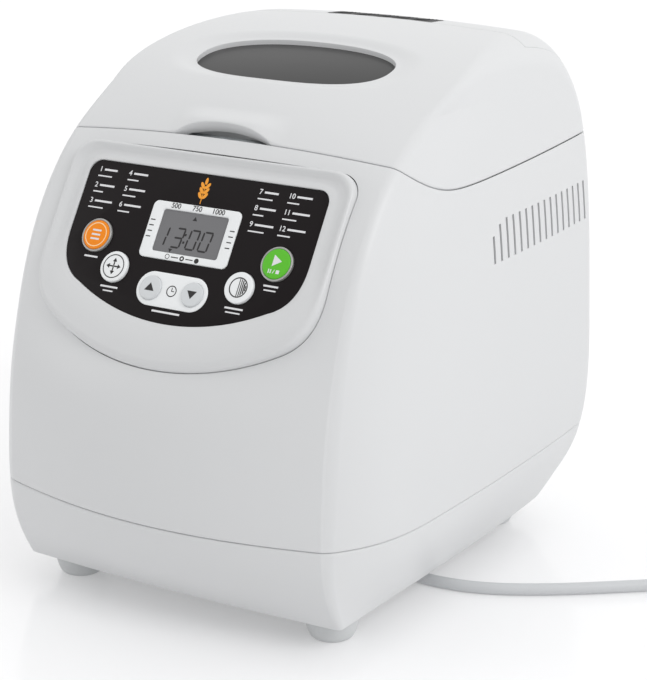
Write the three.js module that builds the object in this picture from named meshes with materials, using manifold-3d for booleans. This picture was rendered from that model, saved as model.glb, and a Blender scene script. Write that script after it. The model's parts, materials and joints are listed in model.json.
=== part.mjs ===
// Bread machine for one-kilogram loaves, in millimetres, +Z up, front towards -Y.
// The origin is on the floor, under the middle of the casing.
import * as THREE from "three";
import { mergeVertices } from "three/addons/utils/BufferGeometryUtils.js";
import Module from "manifold-3d";

const wasm = await Module();
wasm.setup();

// ---------------------------------------------------------------- driving dimensions

const GAP = 0.3; // between pieces that touch
const WALL = 3; // plastic shells

// The casing's middle section from the bottom front edge over the top to the bottom
// rear edge: [crown, y, z]. The crown is how far the skin has dropped at x = EDGE.
const MIDDLE_SECTION = [
  [1, -105.5, -4],
  [2.5, -117, 12],
  [13, -138.5, 34],
  [20, -148, 72],
  [20, -146, 112],
  [16, -137, 141],
  [4, -108.5, 190],
  [6.5, -77.5, 238],
  [10, -50, 262],
  [7, -15, 276.5],
  [4, 40, 286.5],
  [4, 88, 287.5],
  [4, 124, 279],
  [3.5, 142.5, 256],
  [3.5, 147.5, 215],
  [3.5, 147.5, 120],
  [4, 138.5, 60],
  [4, 120.5, 12],
  [4, 119, -4],
];
const EDGE = 99.4; // half width of the front and top band, up to its crease
const HUB = { y: 15, z: 135 }; // middle of the casing, from which the skin is measured
// Half width of the side walls at the middle of their length: [height, half width].
const SIDE_SECTION = [
  [0, 86],
  [12, 97.5],
  [30, 109],
  [50, 118.8],
  [80, 122],
  [130, 120],
  [180, 117.2],
  [225, 111.8],
  [260, 104.8],
  [290, 97.5],
];
const SIDE_RUN = 87; // the side walls reach their full width this far behind the crease
const SIDE_SWELL = 3.6; // how quickly they leave the crease; 1 would be a straight line
const REAR_EASE = 1.9; // how much the side walls have drawn in 80 mm behind y = -20
const FRONT_FILLET = 4;
const REAR_FILLET = 20;

const BASE_BOTTOM = 12;
const BASE_SEAM = 60;
const FEET = { front: [81, -94.5], rear: [72, 92], bottom: 10, top: 14.4 };

// Seam between body and lid, the same right across the machine: [y, z].
const LID_SEAM = [
  [-110, 285],
  [-73, 247],
  [-64, 238.5],
  [-52, 230.5],
  [-38, 225.5],
  [-20, 223.5],
  [40, 224],
  [130, 226],
  [170, 227],
];
const HINGE = { y: 139.5, z: 235, barrel: 6.3, pin: 2.5, openX: 62, armX: 70, endX: 76 };
const HINGE_PIN = { from: 51, to: 73.5 };
const LID_REAR_PANEL = { halfX: 93, front: 79.6 };

const PANEL = { y: -103.3, z: 195, tilt: 32 }; // degrees back from upright
const KEY_TRAVEL = 1;
const CHAMBER = { x: 72, y: 76, midY: 25, bottom: 64, top: 213.7, corner: 26 };
const PAN = { top: 60, bottom: 54, floor: 92, rim: 205, corner: 22, wall: 1.5 };
const HANDLE = { pivotZ: 209.4, reach: 54, halfX: 66, wire: 2.1 };
const PULLEY = { large: 56, small: 7, bottom: 24, top: 36 };
const MOTOR = { x: 48, y: -92, r: 31, bottom: 56.5, top: 116 };
const DRIVE_PLATE = { bottom: 54, top: 55.6 };

const VENT_SLOTS = { count: 16, firstY: 4.7, pitch: 7.75, bottom: 178.5, height: 21.5, width: 2.2 };
const VENT_SHORTER = [7, 2]; // how much the two front slots stop short at the top

// The mains cord, from the strain relief under the base to the coil: [x, y, z].
const CORD_RADIUS = 3.2;
const CORD_ROUTE = [
  [56.9, -9, 8.2],
  [65, -9.6, 7.2],
  [74, -10.8, 4.8],
  [84, -11.4, 3.4],
  [97, -11.2, 3.2],
  [112, -8.6, 3.2],
  [128, -2.5, 3.2],
  [146, 8, 3.2],
  [164, 21, 3.2],
  [182, 35.5, 3.2],
  [199, 49, 3.2],
  [217, 60, 3.2],
  [236, 65.8, 3.2],
];
const COIL = { x: 262, y: 104, inner: 28.6, outer: 41.4, height: 12.8 };
// From the coil's upper turn to the plug: [x, y, z].
const TAIL_ROUTE = [
  [300.2, 129, 9.6],
  [300.4, 138, 10.4],
  [300.2, 148, 14],
  [300.2, 159, 18.2],
  [300.2, 168, 19.4],
];
const PLUG = { x: 300.2, y: 168.6, z: 19.4, r: 19, neck: 15, length: 34 };

// ---------------------------------------------------------------- materials

const finish = (color, roughness, metalness = 0) =>
  new THREE.MeshStandardMaterial({ color, roughness, metalness });
const WHITE_PLASTIC = finish(0xe4e6e8, 0.28);
const BLACK_FILM = finish(0x231f20, 0.35);
const BLACK_PLASTIC = finish(0x1c1c1d, 0.5);
const PALE_KEY = finish(0xf1f3f4, 0.35);
const ORANGE_KEY = finish(0xf59a1c, 0.35);
const GREEN_KEY = finish(0x4fb748, 0.35);
const DISPLAY_GREY = finish(0x9c9c9c, 0.25);
const SMOKED_GLASS = finish(0x4a4a4a, 0.05);
const CLEAR_GLASS = finish(0xb8c0c0, 0.05);
const STEEL = finish(0xb9bbbd, 0.35, 1);
const COATED_STEEL = finish(0x3a3b3d, 0.5, 0.4);
const GALVANISED = finish(0xa7abad, 0.5, 1);
const ALUMINIUM = finish(0xc4c6c8, 0.4, 1);
const CIRCUIT_GREEN = finish(0x1f5f3a, 0.6);
const GREY_RUBBER = finish(0xcfd2d4, 0.7);
const BLACK_RUBBER = finish(0x202020, 0.8);
const CORD_GREY = finish(0xd6d8da, 0.5);

// ---------------------------------------------------------------- solids

// A closed geometry as a solid that can be joined and cut.
function solidOf(geometry) {
  const plain = geometry.index ? geometry.toNonIndexed() : geometry.clone();
  plain.deleteAttribute("normal");
  plain.deleteAttribute("uv");
  const merged = mergeVertices(plain, 1e-4);
  const index = merged.index.array;
  const kept = [];
  for (let i = 0; i < index.length; i += 3) {
    const [a, b, c] = [index[i], index[i + 1], index[i + 2]];
    if (a !== b && b !== c && c !== a) kept.push(a, b, c);
  }
  return new wasm.Manifold(
    new wasm.Mesh({
      numProp: 3,
      vertProperties: new Float32Array(merged.attributes.position.array),
      triVerts: new Uint32Array(kept),
    }),
  );
}

function geometryOf(solid) {
  const mesh = solid.getMesh();
  const positions = new Float32Array(mesh.numVert * 3);
  for (let i = 0; i < mesh.numVert; i++) {
    const start = i * mesh.numProp;
    positions.set(mesh.vertProperties.subarray(start, start + 3), i * 3);
  }
  return new THREE.BufferGeometry()
    .setAttribute("position", new THREE.BufferAttribute(positions, 3))
    .setIndex(new THREE.BufferAttribute(mesh.triVerts, 1));
}

const join = (first, ...others) => others.reduce((sum, each) => sum.add(each), first);
const cut = (first, ...others) => others.reduce((rest, each) => rest.subtract(each), first);

function box(x0, x1, y0, y1, z0, z1) {
  const geometry = new THREE.BoxGeometry(x1 - x0, y1 - y0, z1 - z0);
  return solidOf(geometry.translate((x0 + x1) / 2, (y0 + y1) / 2, (z0 + z1) / 2));
}

// An upright cylinder, or a cone when a second radius is given.
function cylinder(x, y, z0, z1, radius, topRadius = radius, sides = 16) {
  const geometry = new THREE.CylinderGeometry(topRadius, radius, z1 - z0, sides);
  return solidOf(geometry.rotateX(Math.PI / 2).translate(x, y, (z0 + z1) / 2));
}

// A cylinder lying along X.
function rod(y, z, x0, x1, radius, endRadius = radius, sides = 14) {
  const geometry = new THREE.CylinderGeometry(endRadius, radius, x1 - x0, sides);
  return solidOf(geometry.rotateZ(-Math.PI / 2).translate((x0 + x1) / 2, y, z));
}

// A shape in the XY plane, made thick from z0 to z1.
function prism(shape, z0, z1, curveSegments = 5) {
  const options = { depth: z1 - z0, bevelEnabled: false, curveSegments };
  return solidOf(new THREE.ExtrudeGeometry(shape, options).translate(0, 0, z0));
}

// An outline of [y, z] points in the machine's side view, made wide from x0 to x1.
function sideViewPrism(points, x0, x1) {
  const shape = new THREE.Shape(points.map(([y, z]) => new THREE.Vector2(y, z)));
  const geometry = new THREE.ExtrudeGeometry(shape, { depth: x1 - x0, bevelEnabled: false });
  const axes = [new THREE.Vector3(0, 1, 0), new THREE.Vector3(0, 0, 1), new THREE.Vector3(1, 0, 0)];
  geometry.applyMatrix4(new THREE.Matrix4().makeBasis(...axes));
  return solidOf(geometry.translate(x0, 0, 0));
}

// A closed skin through rings of points that all have the same count.
function skin(rings) {
  const count = rings[0].length;
  const points = rings.flat();
  const faces = [];
  for (let row = 0; row + 1 < rings.length; row++) {
    for (let i = 0; i < count; i++) {
      const a = row * count + i;
      const b = row * count + ((i + 1) % count);
      faces.push(a, b, b + count, a, b + count, a + count);
    }
  }
  const last = (rings.length - 1) * count;
  for (let i = 1; i + 1 < count; i++) {
    faces.push(0, i + 1, i, last, last + i, last + i + 1);
  }
  const geometry = new THREE.BufferGeometry().setFromPoints(points);
  return solidOf(geometry.setIndex(faces));
}

// Points round a rectangle with round corners, anticlockwise seen from above.
function roundedRing(halfX, halfY, corner, z, midY = CHAMBER.midY, perCorner = 4) {
  const ring = [];
  [[1, 1], [-1, 1], [-1, -1], [1, -1]].forEach(([signX, signY], quarter) => {
    for (let i = 0; i < perCorner; i++) {
      const angle = (quarter + i / (perCorner - 1)) * (Math.PI / 2);
      const x = signX * (halfX - corner) + corner * Math.cos(angle);
      const y = signY * (halfY - corner) + corner * Math.sin(angle);
      ring.push(new THREE.Vector3(x, midY + y, z));
    }
  });
  return ring;
}

const roundedBlock = (halfX, halfY, corner, z0, z1) =>
  skin([roundedRing(halfX, halfY, corner, z0), roundedRing(halfX, halfY, corner, z1)]);

function roundedShape(halfX, halfY, corner, midY = 0) {
  const shape = new THREE.Shape();
  const turn = Math.PI / 2;
  const [x, y] = [halfX - corner, halfY - corner];
  shape.absarc(x, midY + y, corner, 0, turn);
  shape.absarc(-x, midY + y, corner, turn, 2 * turn);
  shape.absarc(-x, midY - y, corner, 2 * turn, 3 * turn);
  shape.absarc(x, midY - y, corner, 3 * turn, 4 * turn);
  return shape;
}

// ---------------------------------------------------------------- the casing's skin

const smoothStep = (t) => t * t * (3 - 2 * t);
const clamp01 = (t) => Math.min(1, Math.max(0, t));

// Value at `at` in rows of [key, value], on a smooth curve or straight lines.
function lookUp(rows, at) {
  const last = rows.length - 1;
  if (at <= rows[0][0]) return rows[0].slice(1);
  if (at >= rows[last][0]) return rows[last].slice(1);
  let low = 0;
  let high = last;
  while (high - low > 1) {
    const middle = (low + high) >> 1;
    if (rows[middle][0] <= at) low = middle;
    else high = middle;
  }
  const t = (at - rows[low][0]) / (rows[high][0] - rows[low][0]);
  return rows[low].slice(1).map((value, i) => value + t * (rows[high][i + 1] - value));
}

// A curve through points, as many small steps.
function curveThrough(points, steps = 400) {
  const curve = new THREE.CatmullRomCurve3(
    points.map((p) => new THREE.Vector3(...p)),
    false,
    "centripetal",
  );
  return curve.getPoints(steps);
}

// Angle round the hub: 0 to the front, 90 degrees straight up, 180 to the rear.
function hubAngle(y, z) {
  const angle = Math.atan2(z - HUB.z, HUB.y - y);
  return angle < -Math.PI / 2 ? angle + 2 * Math.PI : angle;
}

const sectionPoints = curveThrough(MIDDLE_SECTION);
const BAND_ROWS = sectionPoints.map((p) => [
  hubAngle(p.y, p.z),
  Math.hypot(p.y - HUB.y, p.z - HUB.z),
  p.x,
]);
const FRONT_EDGE_ROWS = sectionPoints
  .map((p) => {
    const angle = hubAngle(p.y, p.z);
    return [p.z - p.x * Math.sin(angle), p.y + p.x * Math.cos(angle), angle];
  })
  .filter(([, , angle]) => angle < 1.2);
const SIDE_ROWS = curveThrough(SIDE_SECTION.map(([z, half]) => [z, half, 0]), 200).map((p) => [
  p.x,
  p.y,
]);
const SEAM_ROWS = curveThrough(LID_SEAM.map(([y, z]) => [y, z, 0]), 18).map((p) => [p.x, p.y]);

// How far a point is outside the band that wraps the front, top and rear.
function outsideBand(x, y, z) {
  const [radius, crown] = lookUp(BAND_ROWS, hubAngle(y, z));
  return Math.hypot(y - HUB.y, z - HUB.z) - radius + crown * (x / EDGE) ** 2;
}

// Half width of the casing: it grows from the crease back, and eases in to the rear.
function halfWidth(y, z) {
  const [middle] = lookUp(SIDE_ROWS, z);
  const [frontEdge] = lookUp(FRONT_EDGE_ROWS, z);
  const behind = clamp01((y - frontEdge) / SIDE_RUN);
  const swell = 1 - (1 - behind) ** SIDE_SWELL;
  const ease = REAR_EASE * (Math.max(0, y + 20) / 80) ** 2;
  return EDGE + (middle - EDGE) * swell - ease;
}

// The larger of two distances, with the corner between them rounded to a radius.
function roundedMax(a, b, radius) {
  const outer = Math.hypot(Math.max(a + radius, 0), Math.max(b + radius, 0));
  return outer + Math.min(Math.max(a, b), -radius);
}

function outsideCasing(x, y, z) {
  const rearShare = smoothStep(clamp01((y + 20) / 135));
  const fillet = FRONT_FILLET + (REAR_FILLET - FRONT_FILLET) * rearShare;
  return roundedMax(outsideBand(x, y, z), Math.abs(x) - halfWidth(y, z), fillet);
}

// The point of the skin, moved in by `inset`, on a ray from the hub.
function skinPoint(direction, inset) {
  let near = 0;
  let far = 400;
  for (let i = 0; i < 30; i++) {
    const middle = (near + far) / 2;
    const x = direction.x * middle;
    const y = HUB.y + direction.y * middle;
    const z = HUB.z + direction.z * middle;
    const outside = Math.max(outsideCasing(x, y, z) + inset, -8 - z);
    if (outside > 0) far = middle;
    else near = middle;
  }
  return direction.clone().multiplyScalar(near).add(new THREE.Vector3(0, HUB.y, HUB.z));
}

// The whole casing as one solid, its skin moved in by `inset`, with rays that crowd
// towards the corners. It runs on below the base, where the pieces are cut flat.
function casing(inset, columns = 28, rows = 10) {
  const squared = (value) => Math.sign(value) * Math.abs(value) ** 0.62;
  const rings = [];
  for (let row = 0; row <= rows; row++) {
    const rise = ((row + 0.02) / (rows + 0.04) - 0.5) * Math.PI;
    const ring = [];
    for (let i = 0; i < columns; i++) {
      const turn = ((i + 0.5) / columns) * 2 * Math.PI;
      const out = squared(Math.cos(rise));
      const direction = new THREE.Vector3(
        out * squared(Math.cos(turn)),
        out * squared(Math.sin(turn)) * 1.2,
        squared(Math.sin(rise)) * 1.15,
      );
      ring.push(skinPoint(direction.normalize(), inset));
    }
    rings.push(ring);
  }
  return skin(rings);
}

// Everything below or above the lid seam, moved up by `shift`.
function seamBlock(shift, closeZ) {
  const line = SEAM_ROWS.map(([y, z]) => [y, z + shift]);
  const ends = [[line.at(-1)[0], closeZ], [line[0][0], closeZ]];
  const block = sideViewPrism([...line, ...ends], -140, 140);
  const [firstY, firstZ] = line[0];
  const below = box(-140, 140, -200, firstY + 0.01, -60, firstZ);
  return closeZ > 0 ? block : join(block, below);
}
const belowSeam = (shift) => seamBlock(shift, -60);
const aboveSeam = (shift) => seamBlock(shift, 340);

const OUTER = casing(0, 40, 14);
const INNER = casing(WALL);
const LINING = casing(WALL + GAP + 0.4);

// ---------------------------------------------------------------- the machine's pieces

const machine = new THREE.Group();
machine.name = "bread_machine";

function addPiece(name, solid, material, parent = machine) {
  const mesh = new THREE.Mesh(geometryOf(solid), material);
  mesh.name = name;
  parent.add(mesh);
  return mesh;
}

// ---- base, body and feet

function baseShell() {
  const block = OUTER.intersect(box(-140, 140, -200, 200, BASE_BOTTOM, BASE_SEAM - GAP / 2));
  const hollow = INNER.intersect(box(-140, 140, -200, 200, BASE_BOTTOM + WALL, 80));
  const cordSlot = box(14, 62, -18, 0, 0, 20);
  const airSlots = [-40, -20, 0].map((y) => box(-70, -20, y, y + 5, 0, 20));
  return cut(block, hollow, cordSlot, ...airSlots);
}

function sideVents() {
  const { count, firstY, pitch, bottom, height, width } = VENT_SLOTS;
  return Array.from({ length: count }, (_, i) => {
    const y = firstY + i * pitch;
    const top = bottom + height - (VENT_SHORTER[i] ?? 0);
    return box(-140, 140, y, y + width, bottom, top);
  });
}

// The frame's outline on the panel: straight top and sides, one long arc below.
function frameShape(grow) {
  const [half, top, low] = [86.5 + grow, 50 + grow, -65 - grow];
  const corner = 13;
  const arcRadius = 132 + grow;
  const arcHalf = 68;
  const arcY = low + arcRadius;
  const lift = Math.atan2(Math.sqrt(arcRadius ** 2 - arcHalf ** 2), arcHalf);
  const shape = new THREE.Shape();
  shape.moveTo(half, -12);
  shape.lineTo(half, top - corner);
  shape.absarc(half - corner, top - corner, corner, 0, Math.PI / 2);
  shape.absarc(-half + corner, top - corner, corner, Math.PI / 2, Math.PI);
  shape.lineTo(-half, -12);
  const arcEndY = arcY - arcRadius * Math.sin(lift);
  shape.quadraticCurveTo(-half, arcEndY + 10, -arcHalf, arcEndY);
  shape.absarc(0, arcY, arcRadius, Math.PI + lift, 2 * Math.PI - lift);
  shape.quadraticCurveTo(half, arcEndY + 10, half, -12);
  return shape;
}

// Places solids that are drawn on the panel: x across, y up the slope, z outwards.
const panelMatrix = new THREE.Matrix4()
  .makeTranslation(0, PANEL.y, PANEL.z)
  .multiply(new THREE.Matrix4().makeRotationX(THREE.MathUtils.degToRad(90 - PANEL.tilt)));

function onPanel(solid) {
  return solidOf(geometryOf(solid).applyMatrix4(panelMatrix));
}

function bodyShell() {
  const room = box(-140, 140, -200, 200, BASE_SEAM + GAP / 2, 300).intersect(belowSeam(-GAP));
  const panelPocket = onPanel(prism(frameShape(GAP), -24, 40));
  return cut(OUTER.intersect(room), INNER, panelPocket, ...sideVents());
}

function foot(x, y) {
  const solid = cylinder(x, y, 0, 2, FEET.bottom - 2, FEET.bottom);
  return join(solid, cylinder(x, y, 2, BASE_BOTTOM - GAP, FEET.bottom, FEET.top));
}

addPiece("base_shell", baseShell(), WHITE_PLASTIC);
addPiece("body_shell", bodyShell(), WHITE_PLASTIC);
for (const [place, [x, y]] of Object.entries({ front: FEET.front, rear: FEET.rear })) {
  addPiece(`foot_${place}_right`, foot(x, y), GREY_RUBBER);
  addPiece(`foot_${place}_left`, foot(-x, y), GREY_RUBBER);
}

// ---- control panel, drawn flat and then tilted

const panel = new THREE.Group();
panel.applyMatrix4(panelMatrix);
machine.add(panel);

// The printed film: [half width, top, bottom] and the long arc of its lower edge.
function fasciaShape(grow) {
  const [half, top, low] = [73.5 + grow, 39 + grow, -41 - grow];
  const corner = 7;
  const arcRadius = 124 + grow;
  const arcHalf = 58;
  const arcY = low + arcRadius;
  const lift = Math.atan2(Math.sqrt(arcRadius ** 2 - arcHalf ** 2), arcHalf);
  const arcEndY = arcY - arcRadius * Math.sin(lift);
  const shape = new THREE.Shape();
  shape.moveTo(half, 0);
  shape.lineTo(half, top - corner);
  shape.absarc(half - corner, top - corner, corner, 0, Math.PI / 2);
  shape.absarc(-half + corner, top - corner, corner, Math.PI / 2, Math.PI);
  shape.lineTo(-half, 0);
  shape.quadraticCurveTo(-half, arcEndY + 6, -arcHalf, arcEndY);
  shape.absarc(0, arcY, arcRadius, Math.PI + lift, 2 * Math.PI - lift);
  shape.quadraticCurveTo(half, arcEndY + 6, half, 0);
  return shape;
}

const KEYS = {
  menu_key: { x: -55.5, y: -1.5, r: 9, material: ORANGE_KEY },
  size_key: { x: -38.5, y: -16.5, r: 8.2, material: PALE_KEY },
  time_up_key: { x: -12.8, y: -24, r: 6.4, material: PALE_KEY },
  time_down_key: { x: 12.8, y: -24, r: 6.4, material: PALE_KEY },
  colour_key: { x: 38.5, y: -16.5, r: 8.2, material: PALE_KEY },
  start_key: { x: 55.5, y: -1.5, r: 9, material: GREEN_KEY },
};
const keyHoles = (grow, from, to) =>
  Object.values(KEYS).map(({ x, y, r }) => cylinder(x, y, from, to, r + grow));
const DISPLAY = { halfX: 27, halfY: 15.2, y: 6.8, corner: 3 };
const DISPLAY_OPENING = { halfX: 20, halfY: 11.3, corner: 1.5 };
const TIME_PLATE = { halfX: 21.5, halfY: 9, y: -24 };
const FRAME_FRONT = 1.5;
const FRAME_BACK = -2.5;
const FILM_BACK = -0.8;
const FILM_FRONT = 0.3;
const KEY_TOP = 1.9;

function displayBlock(size, grow, from, to) {
  const { halfX, halfY, corner } = size;
  return prism(roundedShape(halfX + grow, halfY + grow, corner, DISPLAY.y), from, to, 4);
}
const timePlateBlock = (grow, from, to) => {
  const { halfX, halfY, y } = TIME_PLATE;
  return prism(roundedShape(halfX + grow, halfY + grow, halfY + grow - 0.01, y), from, to, 8);
};

function controlPanelFrame() {
  const block = prism(frameShape(0), -9, FRAME_FRONT);
  const hollow = prism(frameShape(-WALL), -10, FRAME_BACK);
  const filmSeat = prism(fasciaShape(GAP), FILM_BACK - GAP, 4);
  const displayHole = displayBlock(DISPLAY_OPENING, 3, -10, 4);
  return cut(block, hollow, filmSeat, displayHole, ...keyHoles(GAP, -10, 4));
}

function controlFascia() {
  const film = prism(fasciaShape(0), FILM_BACK, FILM_FRONT);
  const displayHole = displayBlock(DISPLAY, GAP, -4, 4);
  return cut(film, displayHole, timePlateBlock(GAP, -4, 4), ...keyHoles(GAP, -4, 4));
}

addPiece("control_panel_frame", controlPanelFrame(), WHITE_PLASTIC, panel);
addPiece("control_fascia", controlFascia(), BLACK_FILM, panel);
const bezel = displayBlock(DISPLAY, 0, FILM_BACK, 0.9);
addPiece(
  "display_bezel",
  cut(bezel, displayBlock(DISPLAY_OPENING, 0, -4, 4)),
  PALE_KEY,
  panel,
);
const glass = displayBlock(DISPLAY_OPENING, -GAP, FILM_BACK, 0.5);
addPiece("display_glass", glass, DISPLAY_GREY, panel);
const timePlate = timePlateBlock(0, FILM_BACK, 0.8);
addPiece("time_key_plate", cut(timePlate, ...keyHoles(GAP, -4, 4)), PALE_KEY, panel);

for (const [name, { x, y, r, material }] of Object.entries(KEYS)) {
  const cap = cylinder(x, y, -3.5, KEY_TOP - 0.8, r);
  const crown = cylinder(x, y, KEY_TOP - 0.8, KEY_TOP, r, r - 0.8);
  const flange = cylinder(x, y, -4.6, FRAME_BACK - GAP - 0.1, r + 1.2);
  addPiece(name, join(cap, crown, flange), material, panel);
}

// The board carries one switch behind each key.
function controlBoard() {
  const board = box(-66, 66, -37, 30, -12, -10.4);
  const switches = Object.values(KEYS).map(({ x, y }) => {
    return box(x - 3, x + 3, y - 3, y + 3, -11, -4.6 - KEY_TRAVEL - GAP);
  });
  return join(board, ...switches);
}
const displayModule = box(-21, 21, DISPLAY.y - 12, DISPLAY.y + 12, -10, -1.2);
addPiece("display_module", displayModule, BLACK_PLASTIC, panel);
addPiece("control_board", controlBoard(), CIRCUIT_GREEN, panel);

// ---- lid

// An oval in plan, for the window: a rounded lens.
function ovalShape(halfX, halfY, midY) {
  const shape = new THREE.Shape();
  const steps = 20;
  for (let i = 0; i < steps; i++) {
    const angle = (i / steps) * 2 * Math.PI;
    const x = halfX * Math.sign(Math.cos(angle)) * Math.abs(Math.cos(angle)) ** 0.85;
    const y = midY + halfY * Math.sign(Math.sin(angle)) * Math.abs(Math.sin(angle)) ** 0.85;
    if (i === 0) shape.moveTo(x, y);
    else shape.lineTo(x, y);
  }
  return shape;
}

const WINDOW = { halfX: 59, halfY: 25.5, y: -4 };
const VENT_GRILLE = { halfX: 34, y0: 81, y1: 97 };
const windowPrism = (grow) =>
  prism(ovalShape(WINDOW.halfX + grow, WINDOW.halfY + grow, WINDOW.y), 200, 320);
const grillePrism = (grow) =>
  box(
    -VENT_GRILLE.halfX - grow,
    VENT_GRILLE.halfX + grow,
    VENT_GRILLE.y0 - grow,
    VENT_GRILLE.y1 + grow,
    250,
    320,
  );
// What the lid leaves free round its hinge.
const hingeRoom = join(
  box(-140, 140, 132, 200, 200, 242.5),
  rod(HINGE.y, HINGE.z, -140, 140, HINGE.barrel + 1.2),
);
const rearPanelBlock = (grow) =>
  box(
    -LID_REAR_PANEL.halfX - grow,
    LID_REAR_PANEL.halfX + grow,
    LID_REAR_PANEL.front - grow,
    200,
    235,
    320,
  );

function lidShell() {
  return cut(OUTER.intersect(aboveSeam(GAP)), INNER, hingeRoom);
}

// The dome over the pan, in side view; its ceiling runs parallel to the window.
const DOME = { front: -44, rear: 97, low: 247, high: 268, breakY: 14, halfX: 72 };
function domeBlock(grow, floorZ) {
  const { front, rear, low, high, breakY, halfX } = DOME;
  const outline = [
    [front - grow, floorZ],
    [rear + grow, floorZ],
    [rear + grow, high + grow],
    [breakY, high + grow],
    [front - grow, low + grow],
  ];
  return sideViewPrism(outline, -halfX - grow, halfX + grow);
}

const CEILING_TILT = Math.atan2(DOME.high - DOME.low, DOME.breakY - DOME.front);
const ceilingZ = (y) => DOME.low + (y - DOME.front) * Math.tan(CEILING_TILT);
function paneBlock(halfX, halfY, from, to) {
  const pane = geometryOf(prism(roundedShape(halfX, halfY, 12), from, to, 5));
  pane.rotateX(CEILING_TILT).translate(0, WINDOW.y, ceilingZ(WINDOW.y));
  return solidOf(pane);
}

function lidInnerPanel() {
  const skirt = LINING.intersect(aboveSeam(3)).intersect(belowSeam(5.2));
  const brim = skirt.intersect(box(-140, 140, -200, 126, 200, 300));
  const wall = 1.3;
  const dome = domeBlock(wall, 226);
  const room = domeBlock(0, 200);
  return cut(join(brim, dome.intersect(aboveSeam(3))), room, paneBlock(50, 18, -6, 6));
}

const seamRing = (outer, inner, low, high) =>
  cut(roundedBlock(...outer, 180, 280), roundedBlock(...inner, 170, 290))
    .intersect(aboveSeam(low))
    .intersect(belowSeam(high));

const lidSkin = cut(lidShell(), windowPrism(0));
addPiece("lid_outer", cut(lidSkin, rearPanelBlock(GAP)), WHITE_PLASTIC);
const rearSkin = lidSkin.intersect(rearPanelBlock(0));
addPiece("lid_rear_panel", cut(rearSkin, grillePrism(GAP)), WHITE_PLASTIC);

function ventGrille() {
  const slab = cut(casing(-1.2).intersect(grillePrism(0)), INNER);
  const slots = [-24, -12, 0, 12, 24].map((x) =>
    box(x - 3.4, x + 3.4, VENT_GRILLE.y0 + 3, VENT_GRILLE.y1 - 3, 250, 320),
  );
  return cut(slab, ...slots);
}
addPiece("top_vent_grille", ventGrille(), BLACK_PLASTIC);

const windowGlass = cut(casing(4.2), casing(7.2)).intersect(windowPrism(5));
addPiece("lid_window", windowGlass, SMOKED_GLASS);
addPiece("lid_inner_panel", lidInnerPanel(), GALVANISED);
addPiece("lid_inner_window", paneBlock(57, 22, 1.3 + GAP + 0.2, 4.6), CLEAR_GLASS);
const SEAL = { outer: [77, 81, 30], inner: [73.4, 77.4, 27] };
addPiece("lid_seal", seamRing(SEAL.outer, SEAL.inner, -1.6, 2.6), GREY_RUBBER);

// ---- hinge

function hingeBarrel() {
  const { y, z, barrel, openX, armX, endX, pin } = HINGE;
  const middle = rod(y, z, -openX, openX, barrel);
  const ends = [rod(y, z, armX + 0.6, endX, barrel), rod(y, z, -endX, -armX - 0.6, barrel)];
  const sill = box(-endX, endX, y - 5, y + 2, 223.6, z - barrel - 0.2);
  const posts = [
    box(-openX, openX, y - 4, y + 2, 224, z),
    box(armX + 0.6, endX, y - 4, y + 2, 224, z),
    box(-endX, -armX - 0.6, y - 4, y + 2, 224, z),
  ];
  const { from, to } = HINGE_PIN;
  const bores = [
    rod(y, z, from - 1, to + 0.5, pin + GAP),
    rod(y, z, -to - 0.5, -from + 1, pin + GAP),
  ];
  const standing = join(sill, ...posts).intersect(LINING);
  return cut(join(standing, middle, ...ends), ...bores);
}

function hingeArm(side) {
  const { y, z, openX, armX, pin } = HINGE;
  const [x0, x1] = side > 0 ? [openX + 0.5, armX] : [-armX, -openX - 0.5];
  const outline = [[y - 5.8, z], [y + 3, z], [y + 2.4, z + 16], [y - 16, z + 22], [y - 20, z + 14]];
  const plate = sideViewPrism(outline, x0, x1).intersect(LINING);
  return cut(join(plate, rod(y, z, x0, x1, 5.8)), rod(y, z, x0 - 1, x1 + 1, pin + GAP));
}

addPiece("hinge_barrel", hingeBarrel(), WHITE_PLASTIC);
addPiece("lid_hinge_arm_right", hingeArm(1), WHITE_PLASTIC);
addPiece("lid_hinge_arm_left", hingeArm(-1), WHITE_PLASTIC);
addPiece("hinge_pin_right", rod(HINGE.y, HINGE.z, HINGE_PIN.from, HINGE_PIN.to, HINGE.pin), STEEL);
addPiece("hinge_pin_left", rod(HINGE.y, HINGE.z, -HINGE_PIN.to, -HINGE_PIN.from, HINGE.pin), STEEL);

// ---- top deck and baking chamber

const TRIM = { outer: [77, 81, 30], inner: [72.2, 76.2, 26] };
function topDeck() {
  const sheet = LINING.intersect(belowSeam(-2.7)).intersect(aboveSeam(-5.2));
  const [halfX, halfY, corner] = TRIM.outer;
  const opening = roundedBlock(halfX + GAP, halfY + GAP, corner, 150, 300);
  return cut(sheet, opening, box(-140, 140, 131, 200, 223.3, 300));
}
addPiece("top_deck", topDeck(), WHITE_PLASTIC);

const trimRing = cut(roundedBlock(...TRIM.outer, 214, 280), roundedBlock(...TRIM.inner, 170, 290));
addPiece("chamber_trim", trimRing.intersect(belowSeam(-2)), GALVANISED);

// A cup between an outer and an inner ring, open at the top.
function cup(rings) {
  return skin(rings.map(([halfX, halfY, corner, z]) => roundedRing(halfX, halfY, corner, z)));
}

function chamberLiner() {
  const { x, y, bottom, top, corner, midY } = CHAMBER;
  const liner = cup([
    [x + 1, y + 1, corner, bottom],
    [x + 1, y + 1, corner, top],
    [x, y, corner, top],
    [x, y, corner, bottom + 1],
  ]);
  const bearingHole = cylinder(0, midY, 50, 80, 13.5);
  const wires = [-14, 14].map((at) => {
    return solidOf(new THREE.CylinderGeometry(4, 4, 20, 16).translate(at, midY + y, 88));
  });
  const sensor = solidOf(new THREE.CylinderGeometry(4, 4, 20, 16).translate(40, midY + y, 130));
  return cut(liner, bearingHole, ...wires, sensor);
}
addPiece("chamber_liner", chamberLiner(), GALVANISED);

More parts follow.
